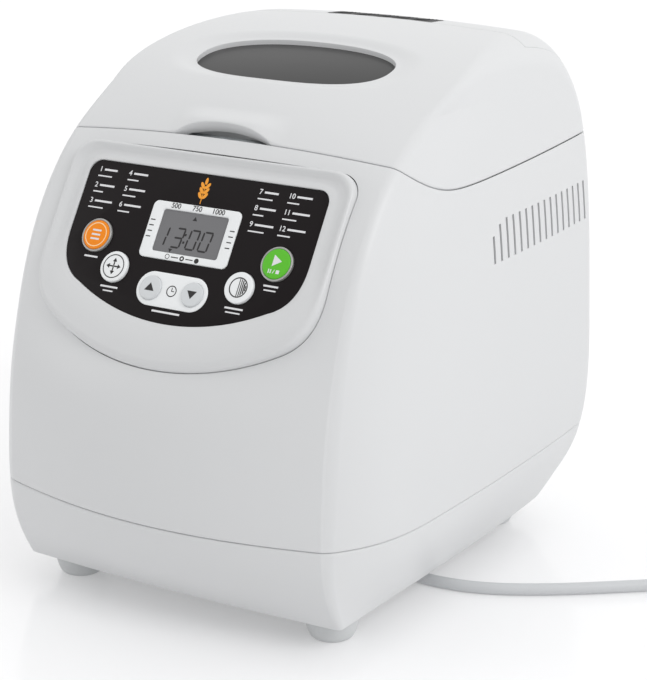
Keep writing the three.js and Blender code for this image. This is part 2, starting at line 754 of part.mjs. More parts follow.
// One heating rod, in through the rear wall, round the chamber and out again.
function heatingElement() {
  const { x, y, midY } = CHAMBER;
  const [runX, runY, corner] = [x - 7, y - 7, 24];
  const points = [[14, midY + y + 10], [14, midY + runY + 4]];
  const quarter = (cx, cy, from) => {
    for (let i = 0; i <= 4; i++) {
      const angle = from - (i / 4) * (Math.PI / 2);
      points.push([cx + corner * Math.cos(angle), midY + cy + corner * Math.sin(angle)]);
    }
  };
  points.push([22, midY + runY]);
  quarter(runX - corner, runY - corner, Math.PI / 2);
  quarter(runX - corner, -runY + corner, 0);
  quarter(-runX + corner, -runY + corner, -Math.PI / 2);
  quarter(-runX + corner, runY - corner, -Math.PI);
  points.push([-22, midY + runY], [-14, midY + runY + 4], [-14, midY + y + 10]);
  const path = new THREE.CatmullRomCurve3(
    points.map(([px, py]) => new THREE.Vector3(px, py, 88)),
    false,
    "centripetal",
  );
  return tube(path, 3.3, 6, 44);
}

// A round bar along a path.
function tube(path, radius, sides, steps) {
  const section = new THREE.Shape();
  for (let i = 0; i < sides; i++) {
    const angle = (i / sides) * 2 * Math.PI;
    const point = [radius * Math.cos(angle), radius * Math.sin(angle)];
    if (i === 0) section.moveTo(...point);
    else section.lineTo(...point);
  }
  const options = { steps, extrudePath: path, bevelEnabled: false };
  return solidOf(new THREE.ExtrudeGeometry(section, options));
}
addPiece("heating_element", heatingElement(), COATED_STEEL);

const rearWallY = CHAMBER.midY + CHAMBER.y;
const sensorRod = new THREE.CylinderGeometry(3, 3, 18, 16).translate(40, rearWallY + 1, 130);
addPiece("temperature_sensor", solidOf(sensorRod), STEEL);
addPiece("thermal_fuse", box(-48, -24, rearWallY + 1.4, rearWallY + 9, 120, 134), BLACK_PLASTIC);

// ---- bread pan

function breadPan() {
  const { top, bottom, floor, rim, corner, wall } = PAN;
  const deep = 4; // the pan is a little longer than wide
  const shell = cup([
    [bottom, bottom + deep, corner - 4, floor],
    [top, top + deep, corner, rim - 3],
    [top + 3.5, top + deep + 3.5, corner + 3, rim - 3],
    [top + 3.5, top + deep + 3.5, corner + 3, rim],
    [top - wall, top + deep - wall, corner - 1, rim],
    [bottom - wall, bottom + deep - wall, corner - 5, floor + wall],
  ]);
  const ears = [1, -1].map((side) => {
    const x = side * (top + 2);
    return box(x - 0.9, x + 0.9, CHAMBER.midY - 7, CHAMBER.midY + 7, rim - 1, HANDLE.pivotZ + 5);
  });
  const bushHole = cylinder(0, CHAMBER.midY, 80, 100, 8 + GAP);
  const bores = rod(CHAMBER.midY, HANDLE.pivotZ, -80, 80, HANDLE.wire + 0.4, HANDLE.wire + 0.4, 12);
  return cut(join(shell, ...ears), bushHole, bores);
}
addPiece("bread_pan", breadPan(), COATED_STEEL);

// The bail, folded down to the rear: its ends turn in through the ears.
function panHandle() {
  const { pivotZ, reach, halfX, wire } = HANDLE;
  const points = [
    [halfX - 8, 0],
    [halfX - 2, 0],
    [halfX, 3],
    [halfX, 24],
    [halfX - 4, 38],
    [halfX - 17, reach - 2],
    [30, reach],
  ];
  const mirrored = points.slice().reverse().map(([x, y]) => [-x, y]);
  const path = new THREE.CatmullRomCurve3(
    [...points, ...mirrored].map(([x, y]) => new THREE.Vector3(x, CHAMBER.midY + y, pivotZ)),
    false,
    "centripetal",
  );
  return tube(path, wire, 6, 40);
}
addPiece("pan_handle", panHandle(), STEEL);

const hollowCylinder = (outer, inner, z0, z1, sides = 20) =>
  cut(
    cylinder(0, CHAMBER.midY, z0, z1, outer, outer, sides),
    cylinder(0, CHAMBER.midY, z0 - 1, z1 + 1, inner, inner, sides),
  );
const PAN_SHAFT_R = 4;

const baseRing = hollowCylinder(28, 25.5, 79, PAN.floor - GAP);
const lugs = [1, -1].map((side) => box(side * 27 - 1.5, side * 27 + 1.5, 21, 29, 81, 84));
addPiece("pan_base_ring", join(baseRing, ...lugs), ALUMINIUM);
addPiece("pan_shaft_bush", hollowCylinder(8, PAN_SHAFT_R + GAP, 84, 94.6, 24), ALUMINIUM);

function panShaft() {
  const spindle = cylinder(0, CHAMBER.midY, 79, 118, PAN_SHAFT_R, PAN_SHAFT_R, 16);
  const wing = box(-2, 2, CHAMBER.midY - 9, CHAMBER.midY + 9, 78.5, 83.4);
  return join(spindle, wing);
}
addPiece("pan_shaft", panShaft(), STEEL);

function kneadingPaddle() {
  const hub = hollowCylinder(9, PAN_SHAFT_R + GAP, 95.4, 119, 24);
  const blade = new THREE.Shape();
  blade.moveTo(6, 0);
  blade.lineTo(40, 0);
  blade.quadraticCurveTo(46, 10, 38, 22);
  blade.quadraticCurveTo(24, 40, 8, 22);
  const vane = new THREE.ExtrudeGeometry(blade, { depth: 4, bevelEnabled: false, curveSegments: 6 });
  vane.rotateX(Math.PI / 2).translate(0, CHAMBER.midY + 2, 96);
  const tail = box(-22, -6, CHAMBER.midY - 2, CHAMBER.midY + 2, 96, 106);
  const bore = cylinder(0, CHAMBER.midY, 90, 130, PAN_SHAFT_R + GAP, PAN_SHAFT_R + GAP, 16);
  return cut(join(hub, solidOf(vane), tail), bore);
}
addPiece("kneading_paddle", kneadingPaddle(), COATED_STEEL);

// ---- drive

addPiece("pan_socket", hollowCylinder(33.5, 29.5, 65.4, 76), GALVANISED);
function driveCoupling() {
  const disc = cylinder(0, CHAMBER.midY, 75.4, 78, 11);
  const dogs = [1, -1].map((side) => {
    return box(side * 6.6 - 2, side * 6.6 + 2, CHAMBER.midY - 4, CHAMBER.midY + 4, 77, 83);
  });
  const bore = cylinder(0, CHAMBER.midY, 70, 77.2, 4 + GAP, 4 + GAP, 16);
  return cut(join(disc, ...dogs), bore);
}
addPiece("drive_coupling", driveCoupling(), ALUMINIUM);
addPiece("drive_shaft", cylinder(0, CHAMBER.midY, 20.5, 76.9, 4, 4, 16), STEEL);

function bearingHousing() {
  const boss = hollowCylinder(12.5, 4.4, 56, 74.6, 24);
  const flange = hollowCylinder(24, 4.4, 56, 59, 24);
  return join(boss, flange);
}
addPiece("shaft_bearing_housing", bearingHousing(), ALUMINIUM);

function drivePlate() {
  const { bottom, top } = DRIVE_PLATE;
  const plate = box(-62, 80, -112, 74, bottom, top);
  const shaftHole = cylinder(0, CHAMBER.midY, 50, 60, 6);
  const motorHole = cylinder(MOTOR.x, MOTOR.y, 50, 60, 8);
  const legs = [[-60, -92], [76, -92], [-60, 68], [76, 68]].map(([x, y]) => {
    return box(x - 2, x + 2, y - 6, y + 2, BASE_BOTTOM + WALL + GAP, top);
  });
  return cut(join(plate, ...legs), shaftHole, motorHole);
}
addPiece("drive_plate", drivePlate(), GALVANISED);

function pulley(x, y, radius, bore) {
  const { bottom, top } = PULLEY;
  const rim = cylinder(x, y, bottom, top, radius, radius, 28);
  const flanges = [bottom - 1.5, top - 0.5].map((z) => {
    return cylinder(x, y, z, z + 2, radius + 3, radius + 3, 28);
  });
  return cut(join(rim, ...flanges), cylinder(x, y, bottom - 9, top + 9, bore, bore, 16));
}

function largePulley() {
  const wheel = pulley(0, CHAMBER.midY, PULLEY.large, 4 + GAP);
  const lightening = Array.from({ length: 6 }, (_, i) => {
    const angle = (i / 6) * 2 * Math.PI;
    const [x, y] = [32 * Math.cos(angle), CHAMBER.midY + 32 * Math.sin(angle)];
    return cylinder(x, y, 0, 60, 11, 11, 8);
  });
  return cut(wheel, ...lightening);
}
addPiece("large_pulley", largePulley(), BLACK_PLASTIC);
addPiece("motor_pulley", pulley(MOTOR.x, MOTOR.y, PULLEY.small, 3 + GAP), ALUMINIUM);

// The belt's outline round both pulleys, `grow` outside their rims.
function beltShape(grow) {
  const [dx, dy] = [MOTOR.x, MOTOR.y - CHAMBER.midY];
  const distance = Math.hypot(dx, dy);
  const heading = Math.atan2(dy, dx);
  const spread = Math.acos((PULLEY.large - PULLEY.small) / distance);
  const shape = new THREE.Shape();
  const full = 2 * Math.PI;
  shape.absarc(0, CHAMBER.midY, PULLEY.large + grow, heading + spread, heading - spread + full);
  shape.absarc(MOTOR.x, MOTOR.y, PULLEY.small + grow, heading - spread, heading + spread);
  return shape;
}
const beltRun = cut(prism(beltShape(3), 26.2, 34.8, 14), prism(beltShape(0.4), 20, 40, 14));
addPiece("drive_belt", beltRun, BLACK_RUBBER);
addPiece("motor_shaft", cylinder(MOTOR.x, MOTOR.y, 21, 118.5, 3, 3, 16), STEEL);

function motor() {
  const { x, y, r, bottom, top } = MOTOR;
  const can = cylinder(x, y, bottom, top, r, r, 28);
  const cap = cylinder(x, y, top, top + 6, 16, 14, 20);
  return cut(join(can, cap), cylinder(x, y, 40, top + 3, 3 + GAP, 3 + GAP, 16));
}
addPiece("motor", motor(), GALVANISED);

// ---- electrics

addPiece("run_capacitor", cylinder(-66, -96, 62, 102, 11, 11, 20), BLACK_PLASTIC);
function powerBoard() {
  const board = box(-84, 8, -72, -70.4, 66, 132);
  const parts = [
    box(-78, -54, -88, -71, 108, 126),
    box(-40, -22, -84, -71, 100, 122),
    box(-14, 2, -86, -71, 74, 94),
  ];
  return join(board, ...parts);
}
addPiece("power_board", powerBoard(), CIRCUIT_GREEN);

function strainRelief() {
  const clamp = box(16, 26, -16, -2, 4, 19);
  return join(clamp, rod(-9, 8.2, 20, 56, 5.2, 3.9, 20));
}
addPiece("strain_relief", strainRelief(), GREY_RUBBER);

function cordAlong(route, steps) {
  const points = route.map((p) => new THREE.Vector3(...p));
  return tube(new THREE.CatmullRomCurve3(points, false, "centripetal"), CORD_RADIUS, 8, steps);
}
addPiece("mains_cord", cordAlong(CORD_ROUTE, 30), CORD_GREY);
addPiece("mains_cord_tail", cordAlong(TAIL_ROUTE, 8), CORD_GREY);

function cordCoil() {
  const { x, y, inner, outer, height } = COIL;
  const outline = [[inner, 0.01], [outer, 0.01], [outer, height], [inner, height], [inner, 0.01]];
  const ring = new THREE.LatheGeometry(outline.map(([r, z]) => new THREE.Vector2(r, z)), 28);
  return solidOf(ring.rotateX(Math.PI / 2).translate(x, y, 0));
}
addPiece("cord_coil", cordCoil(), CORD_GREY);

// A round two-pin plug, lying on its side with its pins towards the rear.
function mainsPlug() {
  const { x, y, z, r, neck, length } = PLUG;
  const along = (x0, z0, from, to, r0, r1, sides) =>
    solidOf(
      new THREE.CylinderGeometry(r1, r0, to - from, sides).translate(x0, (from + to) / 2, z0),
    );
  const stem = along(x, z, y + GAP, y + neck + 1, 5, 12, 12);
  const body = along(x, z, y + neck, y + neck + length, r, r, 20);
  const end = y + neck + length;
  const pins = [9.5, -9.5].map((side) => along(x + side, z, end - 1, end + 19, 2.4, 2.4, 8));
  return join(stem, body, ...pins);
}
addPiece("mains_plug", mainsPlug(), CORD_GREY);

export default machine;
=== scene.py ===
import json
import math

import bmesh
import bpy
import numpy as np
from mathutils import Matrix, Vector


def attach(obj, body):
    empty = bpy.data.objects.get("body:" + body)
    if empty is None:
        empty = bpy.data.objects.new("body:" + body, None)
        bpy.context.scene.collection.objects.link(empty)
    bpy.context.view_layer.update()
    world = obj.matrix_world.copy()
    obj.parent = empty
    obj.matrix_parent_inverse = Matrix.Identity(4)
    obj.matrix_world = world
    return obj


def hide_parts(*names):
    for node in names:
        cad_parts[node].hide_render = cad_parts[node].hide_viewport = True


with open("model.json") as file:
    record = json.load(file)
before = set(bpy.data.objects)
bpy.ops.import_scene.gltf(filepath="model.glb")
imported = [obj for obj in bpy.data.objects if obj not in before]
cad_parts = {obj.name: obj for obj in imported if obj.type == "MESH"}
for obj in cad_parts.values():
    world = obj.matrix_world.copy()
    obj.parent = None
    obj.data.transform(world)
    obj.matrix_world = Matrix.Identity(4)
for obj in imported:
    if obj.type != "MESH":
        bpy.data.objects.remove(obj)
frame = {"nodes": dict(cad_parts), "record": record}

MM = 0.001
NODES = frame["nodes"]
scene = bpy.context.scene


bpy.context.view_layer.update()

# ---------------------------------------------------------------- camera, light and floor

AZIMUTH, ELEVATION = math.radians(32.5), math.radians(16.6)
back = Vector((math.sin(AZIMUTH) * math.cos(ELEVATION),
               -math.cos(AZIMUTH) * math.cos(ELEVATION), math.sin(ELEVATION)))
camera = bpy.data.objects.new("camera", bpy.data.cameras.new("camera"))
scene.collection.objects.link(camera)
scene.camera = camera
camera.data.lens = 117.4
camera.data.sensor_width = 36
camera.data.clip_start, camera.data.clip_end = 0.05, 100
camera.location = (0.6376, -0.9763, 0.468)
camera.rotation_mode = "QUATERNION"
camera.rotation_quaternion = (-back).to_track_quat("-Z", "Y")

scene.view_settings.view_transform = "Standard"


def area_light(name, place, target, size, watts):
    light = bpy.data.lights.new(name, "AREA")
    light.shape = "DISK"
    light.size = size
    light.energy = watts
    lamp = bpy.data.objects.new(name, light)
    lamp.location = place
    lamp.rotation_mode = "QUATERNION"
    lamp.rotation_quaternion = (Vector(target) - Vector(place)).to_track_quat("-Z", "Y")
    scene.collection.objects.link(lamp)


area_light("key", (1.9, -0.5, 1.5), (0, 0, 0.12), 1.3, 15)
area_light("top", (-0.2, 0.3, 2.3), (0, 0, 0.2), 1.8, 1.5)
area_light("fill", (-1.9, -1.3, 0.7), (-0.25, 0.0, 0.14), 1.0, 3.5)

# The studio is bright behind the object and dimmer in front of it.
world = bpy.data.worlds.new("studio")
scene.world = world
world.use_nodes = True
nodes, links = world.node_tree.nodes, world.node_tree.links
nodes.clear()
coords = nodes.new("ShaderNodeTexCoord")
towards = nodes.new("ShaderNodeVectorMath")
towards.operation = "DOT_PRODUCT"
towards.inputs[1].default_value = Vector((-0.1, 0.93, 0.35)).normalized()
spread = nodes.new("ShaderNodeMapRange")
spread.interpolation_type = "SMOOTHSTEP"
for key, value in {"From Min": -0.75, "From Max": 0.35, "To Min": 0.58, "To Max": 1.0}.items():
    spread.inputs[key].default_value = value
background = nodes.new("ShaderNodeBackground")
background.inputs["Color"].default_value = (1, 1, 1, 1)
output = nodes.new("ShaderNodeOutputWorld")
links.new(coords.outputs["Generated"], towards.inputs[0])
links.new(towards.outputs["Value"], spread.inputs["Value"])
links.new(spread.outputs["Result"], background.inputs["Strength"])
links.new(background.outputs["Background"], output.inputs["Surface"])

# ---------------------------------------------------------------- materials


def material(name, color, roughness, metallic=0.0, specular=0.5, coat=0.0, grain=0.02,
             grain_scale=1400.0, speckle=0.0):
    """A Principled surface. grain is a fine bump; speckle varies the colour a little."""
    made = bpy.data.materials.new(name)
    made.use_nodes = True
    tree = made.node_tree
    shader = tree.nodes["Principled BSDF"]
    rgb = [((c / 255 + 0.055) / 1.055) ** 2.4 if c > 10 else c / 255 / 12.92 for c in color]
    shader.inputs["Base Color"].default_value = (*rgb, 1)
    shader.inputs["Roughness"].default_value = roughness
    shader.inputs["Metallic"].default_value = metallic
    shader.inputs["Specular IOR Level"].default_value = specular
    shader.inputs["Coat Weight"].default_value = coat
    shader.inputs["Coat Roughness"].default_value = 0.08
    if grain or speckle:
        place = tree.nodes.new("ShaderNodeTexCoord")
        noise = tree.nodes.new("ShaderNodeTexNoise")
        noise.inputs["Scale"].default_value = grain_scale
        noise.inputs["Detail"].default_value = 3
        tree.links.new(place.outputs["Object"], noise.inputs["Vector"])
    if grain:
        bump = tree.nodes.new("ShaderNodeBump")
        bump.inputs["Strength"].default_value = grain
        bump.inputs["Distance"].default_value = 0.0002
        tree.links.new(noise.outputs["Fac"], bump.inputs["Height"])
        tree.links.new(bump.outputs["Normal"], shader.inputs["Normal"])
    if speckle:
        ramp = tree.nodes.new("ShaderNodeValToRGB")
        low = [c * (1 - speckle) for c in rgb]
        high = [min(1, c * (1 + speckle)) for c in rgb]
        ramp.color_ramp.elements[0].position = 0.35
        ramp.color_ramp.elements[1].position = 0.65
        ramp.color_ramp.elements[0].color = (*low, 1)
        ramp.color_ramp.elements[1].color = (*high, 1)
        tree.links.new(noise.outputs["Fac"], ramp.inputs["Fac"])
        tree.links.new(ramp.outputs["Color"], shader.inputs["Base Color"])
    return made


WHITE = material("white_shell", (216, 217, 218), 0.36, specular=0.4, grain=0.03)
FRAME_WHITE = material("frame_white", (212, 213, 214), 0.3, specular=0.4, grain=0.03)
FILM = material("black_film", (27, 23, 24), 0.42, specular=0.12)
BLACK = material("black_plastic", (26, 26, 27), 0.45, grain=0.1)
PALE = material("pale_key", (238, 240, 241), 0.35)
PALE_GREY = material("pale_grey_key", (212, 215, 217), 0.4)
SILVER = material("silver_rim", (176, 176, 174), 0.4, metallic=0.6)
ORANGE = material("orange_key", (244, 138, 8), 0.42, specular=0.3)
GREEN = material("green_key", (92, 190, 44), 0.42, specular=0.3)
DISPLAY = material("display_grey", (118, 118, 120), 0.3, specular=0.3)
SMOKED = material("smoked_glass", (68, 68, 68), 0.3, specular=0.12)
STEEL = material("steel", (190, 192, 194), 0.3, metallic=1, grain=0.05, grain_scale=1800)
COATED = material("coated_steel", (52, 53, 55), 0.42, metallic=0.3, grain=0.2, speckle=0.12)
ZINC = material("galvanised", (178, 182, 184), 0.38, metallic=1, speckle=0.1, grain_scale=160)
ALUMINIUM = material("aluminium", (196, 198, 200), 0.36, metallic=1, grain=0.08)
BOARD = material("circuit_green", (31, 95, 58), 0.6)
FOOT = material("grey_rubber", (205, 207, 208), 0.55, grain=0.1)
BELT = material("black_rubber", (30, 30, 30), 0.8)
CORD = material("cord_grey", (203, 205, 207), 0.45, grain=0.05)
INK_WHITE = material("ink_white", (226, 226, 228), 0.5)
INK_DARK = material("ink_dark", (34, 32, 33), 0.5)
INK_ORANGE = material("ink_orange", (246, 160, 38), 0.45)
INK_PEACH = material("ink_peach", (255, 214, 160), 0.5)

pane_glass = material("clear_glass", (205, 210, 208), 0.04)
pane_glass.node_tree.nodes["Principled BSDF"].inputs["Alpha"].default_value = 0.35

SLOT_LOOKS = {
    "white_shell": WHITE, "black_film": FILM, "black_plastic": BLACK, "pale_key": PALE,
    "orange_key": ORANGE, "green_key": GREEN, "display_grey": DISPLAY,
    "smoked_glass": SMOKED, "clear_glass": pane_glass, "steel": STEEL,
    "coated_steel": COATED, "galvanised": ZINC, "aluminium": ALUMINIUM,
    "circuit_green": BOARD, "grey_rubber": FOOT, "black_rubber": BELT, "cord_grey": CORD,
}

# ---------------------------------------------------------------- mesh helpers


def shade(mesh, sharp=35):
    mesh.shade_smooth()
    mesh.set_sharp_from_angle(angle=math.radians(sharp))


def piece(name, verts, faces, look, body, sharp=35, replaces=(), slot=None, turn_out=True):
    """A mesh from points in millimetres, riding on a CAD body."""
    mesh = bpy.data.meshes.new(name)
    points = [tuple(float(c) * MM for c in v) for v in verts]
    mesh.from_pydata(points, [], [tuple(int(i) for i in f) for f in faces])
    if turn_out:
        work = bmesh.new()
        work.from_mesh(mesh)
        bmesh.ops.remove_doubles(work, verts=work.verts, dist=1e-7)
        bmesh.ops.recalc_face_normals(work, faces=work.faces)
        work.to_mesh(mesh)
        work.free()
    mesh.validate()
    mesh.materials.append(look)
    obj = bpy.data.objects.new(name, mesh)
    scene.collection.objects.link(obj)
    shade(mesh, sharp)
    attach(obj, body)
    if replaces:
        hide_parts(*replaces)
    return obj


def weave(rows, columns_close=True, rows_close=False, start_cap=False, end_cap=False):
    """Quads through rows of points, each an (n, 3) array, with flat caps if asked."""
    count = len(rows[0])
    verts = np.concatenate(rows)
    faces = []
    last = len(rows) if rows_close else len(rows) - 1
    around = count if columns_close else count - 1
    for r in range(last):
        here, there = r * count, (r + 1) % len(rows) * count
        for i in range(around):
            j = (i + 1) % count
            faces.append((here + i, here + j, there + j, there + i))
    if start_cap:
        faces.append(tuple(reversed(range(count))))
    if end_cap:
        base = (len(rows) - 1) * count
        faces.append(tuple(range(base, base + count)))
    return verts, faces


def joined(*parts):
    verts, faces, offset = [], [], 0
    for v, f in parts:
        verts.extend(map(tuple, v))
        faces.extend(tuple(i + offset for i in face) for face in f)
        offset += len(v)
    return verts, faces


def box_mesh(x0, x1, y0, y1, z0, z1):
    verts = [(x, y, z) for z in (z0, z1) for y in (y0, y1) for x in (x0, x1)]
    faces = [(0, 2, 3, 1), (4, 5, 7, 6), (0, 1, 5, 4), (2, 6, 7, 3), (0, 4, 6, 2), (1, 3, 7, 5)]
    return verts, faces


def at_height(outline, height):
    """The points of a flat outline, all at one height."""
    return np.column_stack([outline, np.full(len(outline), float(height))])


def prism(outline, z0, z1):
    return weave([at_height(outline, z0), at_height(outline, z1)], start_cap=True, end_cap=True)


def carve(obj, cutters, operation="DIFFERENCE"):
    """Cuts obj by meshes in millimetres, each given as (verts, faces)."""
    cutter_mesh = bpy.data.meshes.new("cutter")
    verts, faces = joined(*cutters)
    cutter_mesh.from_pydata([tuple(c * MM for c in v) for v in verts], [], faces)
    work = bmesh.new()
    work.from_mesh(cutter_mesh)
    bmesh.ops.recalc_face_normals(work, faces=work.faces)
    work.to_mesh(cutter_mesh)
    work.free()
    cutter = bpy.data.objects.new("cutter", cutter_mesh)
    scene.collection.objects.link(cutter)
    step = obj.modifiers.new("cut", "BOOLEAN")
    step.operation = operation
    step.solver = "EXACT"
    step.object = cutter
    bpy.context.view_layer.update()
    graph = bpy.context.evaluated_depsgraph_get()
    result = bpy.data.meshes.new_from_object(obj.evaluated_get(graph))
    obj.modifiers.clear()
    look = obj.data.materials[0]
    obj.data = result
    result.materials.clear()
    result.materials.append(look)
    bpy.data.objects.remove(cutter)
    return obj


def circles(profile, sides, centre):
    """A circle of points for each (radius, height) pair."""
    turn = np.linspace(0, 2 * math.pi, sides, endpoint=False)
    rows = []
    for radius, height in profile:
        plan = np.column_stack([centre[0] + radius * np.cos(turn), centre[1] + radius * np.sin(turn)])
        rows.append(at_height(plan, height))
    return rows


def lathe(profile, sides=64, centre=(0, 0)):
    """A solid of revolution about Z from (radius, height) pairs."""
    rows = circles(profile, sides, centre)
    return weave(rows, start_cap=profile[0][0] > 0, end_cap=profile[-1][0] > 0)


def turned_ring(profile, sides=72, centre=(0, 0)):
    """A ring about Z whose section is the closed profile of (radius, height) pairs."""
    return weave(circles(profile, sides, centre), rows_close=True)


def rounded_rect(half_x, half_y, corner, mid_y=0.0, per_corner=12):
    points = []
    for quarter, (sx, sy) in enumerate([(1, 1), (-1, 1), (-1, -1), (1, -1)]):
        for angle in np.linspace(quarter, quarter + 1, per_corner) * math.pi / 2:
            points.append((sx * (half_x - corner) + corner * math.cos(angle),
                           mid_y + sy * (half_y - corner) + corner * math.sin(angle)))
    return np.array(points)


# ---------------------------------------------------------------- the casing's skin

HUB = np.array([0.0, 15.0, 135.0])
EDGE = 99.4
WALL = 3.0
# (crown, y, z) round the middle section, as the CAD part has it: up the front, over the top and
# down the rear.
MIDDLE_SECTION = [
    (1, -105.5, -4), (2.5, -117, 12), (13, -138.5, 34), (20, -148, 72), (20, -146, 112),
    (16, -137, 141), (4, -108.5, 190), (6.5, -77.5, 238), (10, -50, 262), (7, -15, 276.5),
    (4, 40, 286.5), (4, 88, 287.5), (4, 124, 279), (3.5, 142.5, 256), (3.5, 147.5, 215),
    (3.5, 147.5, 120), (4, 138.5, 60), (4, 120.5, 12), (4, 119, -4),
]
SIDE_SECTION = [
    (0, 86), (12, 97.5), (30, 109), (50, 118.8), (80, 122), (130, 120), (180, 117.2),
    (225, 111.8), (260, 104.8), (290, 97.5),
]
LID_SEAM = [
    (-110, 285), (-73, 247), (-64, 238.5), (-52, 230.5), (-38, 225.5), (-20, 223.5),
    (40, 224), (130, 226), (170, 227),
]
SIDE_RUN, SIDE_SWELL, REAR_EASE = 87.0, 3.6, 1.9
FRONT_FILLET, REAR_FILLET = 3.0, 20.0
BASE_BOTTOM, BASE_SEAM = 13.5, 60.0
WINDOW_HALF_X, WINDOW_HALF_Y, WINDOW_Y = 59.0, 25.5, -4.0
WINDOW_POWER = 2.35  # of the superellipse that is the window's outline
WINDOW_SINK = 2.6  # how far the pane lies under the casing's skin
SHOULDER = 2.6  # how far the rim round the window dips
HOOD_HALF, HOOD_RISE, HOOD_DEPTH = 36.0, 25.0, 4.2  # the swelling over the finger grip
ARCH_HALF, ARCH_RISE = 29.0, 9.4
GRIP_HALF, GRIP_RISE, GRIP_DEPTH = 31.0, 14.0, 16.0
FRONT_ONLY = -20.0  # the grip and its arch are in front of this


def spline(points, steps):
    """A smooth curve through points, as steps + 1 points."""
    p = np.array(points, float)
    gaps = np.sqrt(np.linalg.norm(np.diff(p, axis=0), axis=1))
    t = np.concatenate([[0], np.cumsum(gaps)])
    n = len(p)
    matrix, right = np.eye(n), np.zeros_like(p)
    for i in range(1, n - 1):
        before, after = gaps[i - 1], gaps[i]
        matrix[i, i - 1:i + 2] = before, 2 * (before + after), after
        right[i] = 6 * ((p[i + 1] - p[i]) / after - (p[i] - p[i - 1]) / before)
    bend = np.linalg.solve(matrix, right)
    at = np.linspace(0, t[-1], steps + 1)
    k = np.clip(np.searchsorted(t, at, side="right") - 1, 0, n - 2)
    h = gaps[k][:, None]
    a, b = (t[k + 1] - at)[:, None], (at - t[k])[:, None]
    return (bend[k] * a ** 3 + bend[k + 1] * b ** 3) / (6 * h) \
        + (p[k] / h - bend[k] * h / 6) * a + (p[k + 1] / h - bend[k + 1] * h / 6) * b


def hub_angle(y, z):
    angle = np.arctan2(z - HUB[2], HUB[1] - y)
    return np.where(angle < -math.pi / 2, angle + 2 * math.pi, angle)


section = spline(MIDDLE_SECTION, 3000)
band_angle = hub_angle(section[:, 1], section[:, 2])
band_radius = np.hypot(section[:, 1] - HUB[1], section[:, 2] - HUB[2])
band_crown = section[:, 0]
front = band_angle < 1.2
front_z = (section[:, 2] - band_crown * np.sin(band_angle))[front]
front_y = (section[:, 1] + band_crown * np.cos(band_angle))[front]
side_curve = spline(SIDE_SECTION, 800)
seam_curve = spline(LID_SEAM, 400)


def seam_height(y):
    return np.interp(y, seam_curve[:, 0], seam_curve[:, 1])


def smooth_step(t):
    t = np.clip(t, 0, 1)
    return t * t * (3 - 2 * t)


def hull(p):
    """How far outside the plain casing each point is."""
    x, y, z = p[..., 0], p[..., 1], p[..., 2]
    angle = hub_angle(y, z)
    band = np.hypot(y - HUB[1], z - HUB[2]) - np.interp(angle, band_angle, band_radius)
    band = band + np.interp(angle, band_angle, band_crown) * (x / EDGE) ** 2
    behind = np.clip((y - np.interp(z, front_z, front_y)) / SIDE_RUN, 0, 1)
    swell = 1 - (1 - behind) ** SIDE_SWELL
    half = EDGE + (np.interp(z, side_curve[:, 0], side_curve[:, 1]) - EDGE) * swell
    half = half - REAR_EASE * (np.maximum(0, y + 20) / 80) ** 2
    fillet = FRONT_FILLET + (REAR_FILLET - FRONT_FILLET) * smooth_step((y + 20) / 135)
    side = np.abs(x) - half
    outer = np.hypot(np.maximum(band + fillet, 0), np.maximum(side + fillet, 0))
    return outer + np.minimum(np.maximum(band, side), -fillet)


def window_reach(x, y):
    """1 on the window's outline, less inside."""
    return (np.abs(x / WINDOW_HALF_X) ** WINDOW_POWER
            + np.abs((y - WINDOW_Y) / WINDOW_HALF_Y) ** WINDOW_POWER) ** (1 / WINDOW_POWER)


def skin(p):
    """The casing with its window shoulder and the swelling over the finger grip."""
    x, y, z = p[..., 0], p[..., 1], p[..., 2]
    from_window = (window_reach(x, y) - 1) * 26
    shoulder = SHOULDER * (1 - smooth_step(from_window / 9)) ** 1.5
    over_seam = z - seam_height(y)
    across = smooth_step(1.7 * (1 - np.abs(x) / HOOD_HALF))
    upwards = smooth_step(1.7 * (1 - over_seam / HOOD_RISE)) * smooth_step(over_seam / 3 + 0.2)
    hood = HOOD_DEPTH * across * upwards * (y < FRONT_ONLY)
    return hull(p) + np.where(z > 200, shoulder - hood, 0)


def cast(directions, inset=0.0, shape=hull):
    """The points of a shape, moved in by inset, on rays from the hub."""
    near = np.zeros(directions.shape[:-1])
    far = np.full(directions.shape[:-1], 400.0)
    for _ in range(36):
        middle = (near + far) / 2
        outside = shape(HUB + directions * middle[..., None]) + inset > 0
        far = np.where(outside, middle, far)
        near = np.where(outside, near, middle)
    return HUB + directions * near[..., None]


def ray(azimuth, rise):
    return np.stack([np.cos(rise) * np.cos(azimuth), np.cos(rise) * np.sin(azimuth),
                     np.sin(rise)], axis=-1)


def rise_at(azimuth, level, inset=0.0, shape=hull):
    """The rise at which rays meet the skin at a level, which may depend on x and y."""
    low = np.full(azimuth.shape, -1.25)
    high = np.full(azimuth.shape, 1.45)
    for _ in range(30):
        middle = (low + high) / 2
        p = cast(ray(azimuth, middle), inset, shape)
        above = p[..., 2] > level(p[..., 0], p[..., 1])
        high = np.where(above, middle, high)
        low = np.where(above, low, middle)
    return (low + high) / 2


def skin_height(x, y, inset=0.0, shape=hull):
    """Height of the top skin over points in plan."""
    low, high = np.full(np.shape(x), 180.0), np.full(np.shape(x), 330.0)
    for _ in range(36):
        middle = (low + high) / 2
        outside = shape(np.stack([x, y, middle], axis=-1)) + inset > 0
        high = np.where(outside, middle, high)
        low = np.where(outside, low, middle)
    return low


def read(items, field, width=1, kind=float):
    """One property of every vertex, corner or face of a mesh."""
    values = np.empty(len(items) * width, kind)
    items.foreach_get(field, values)
    return values.reshape(-1, width) if width > 1 else values


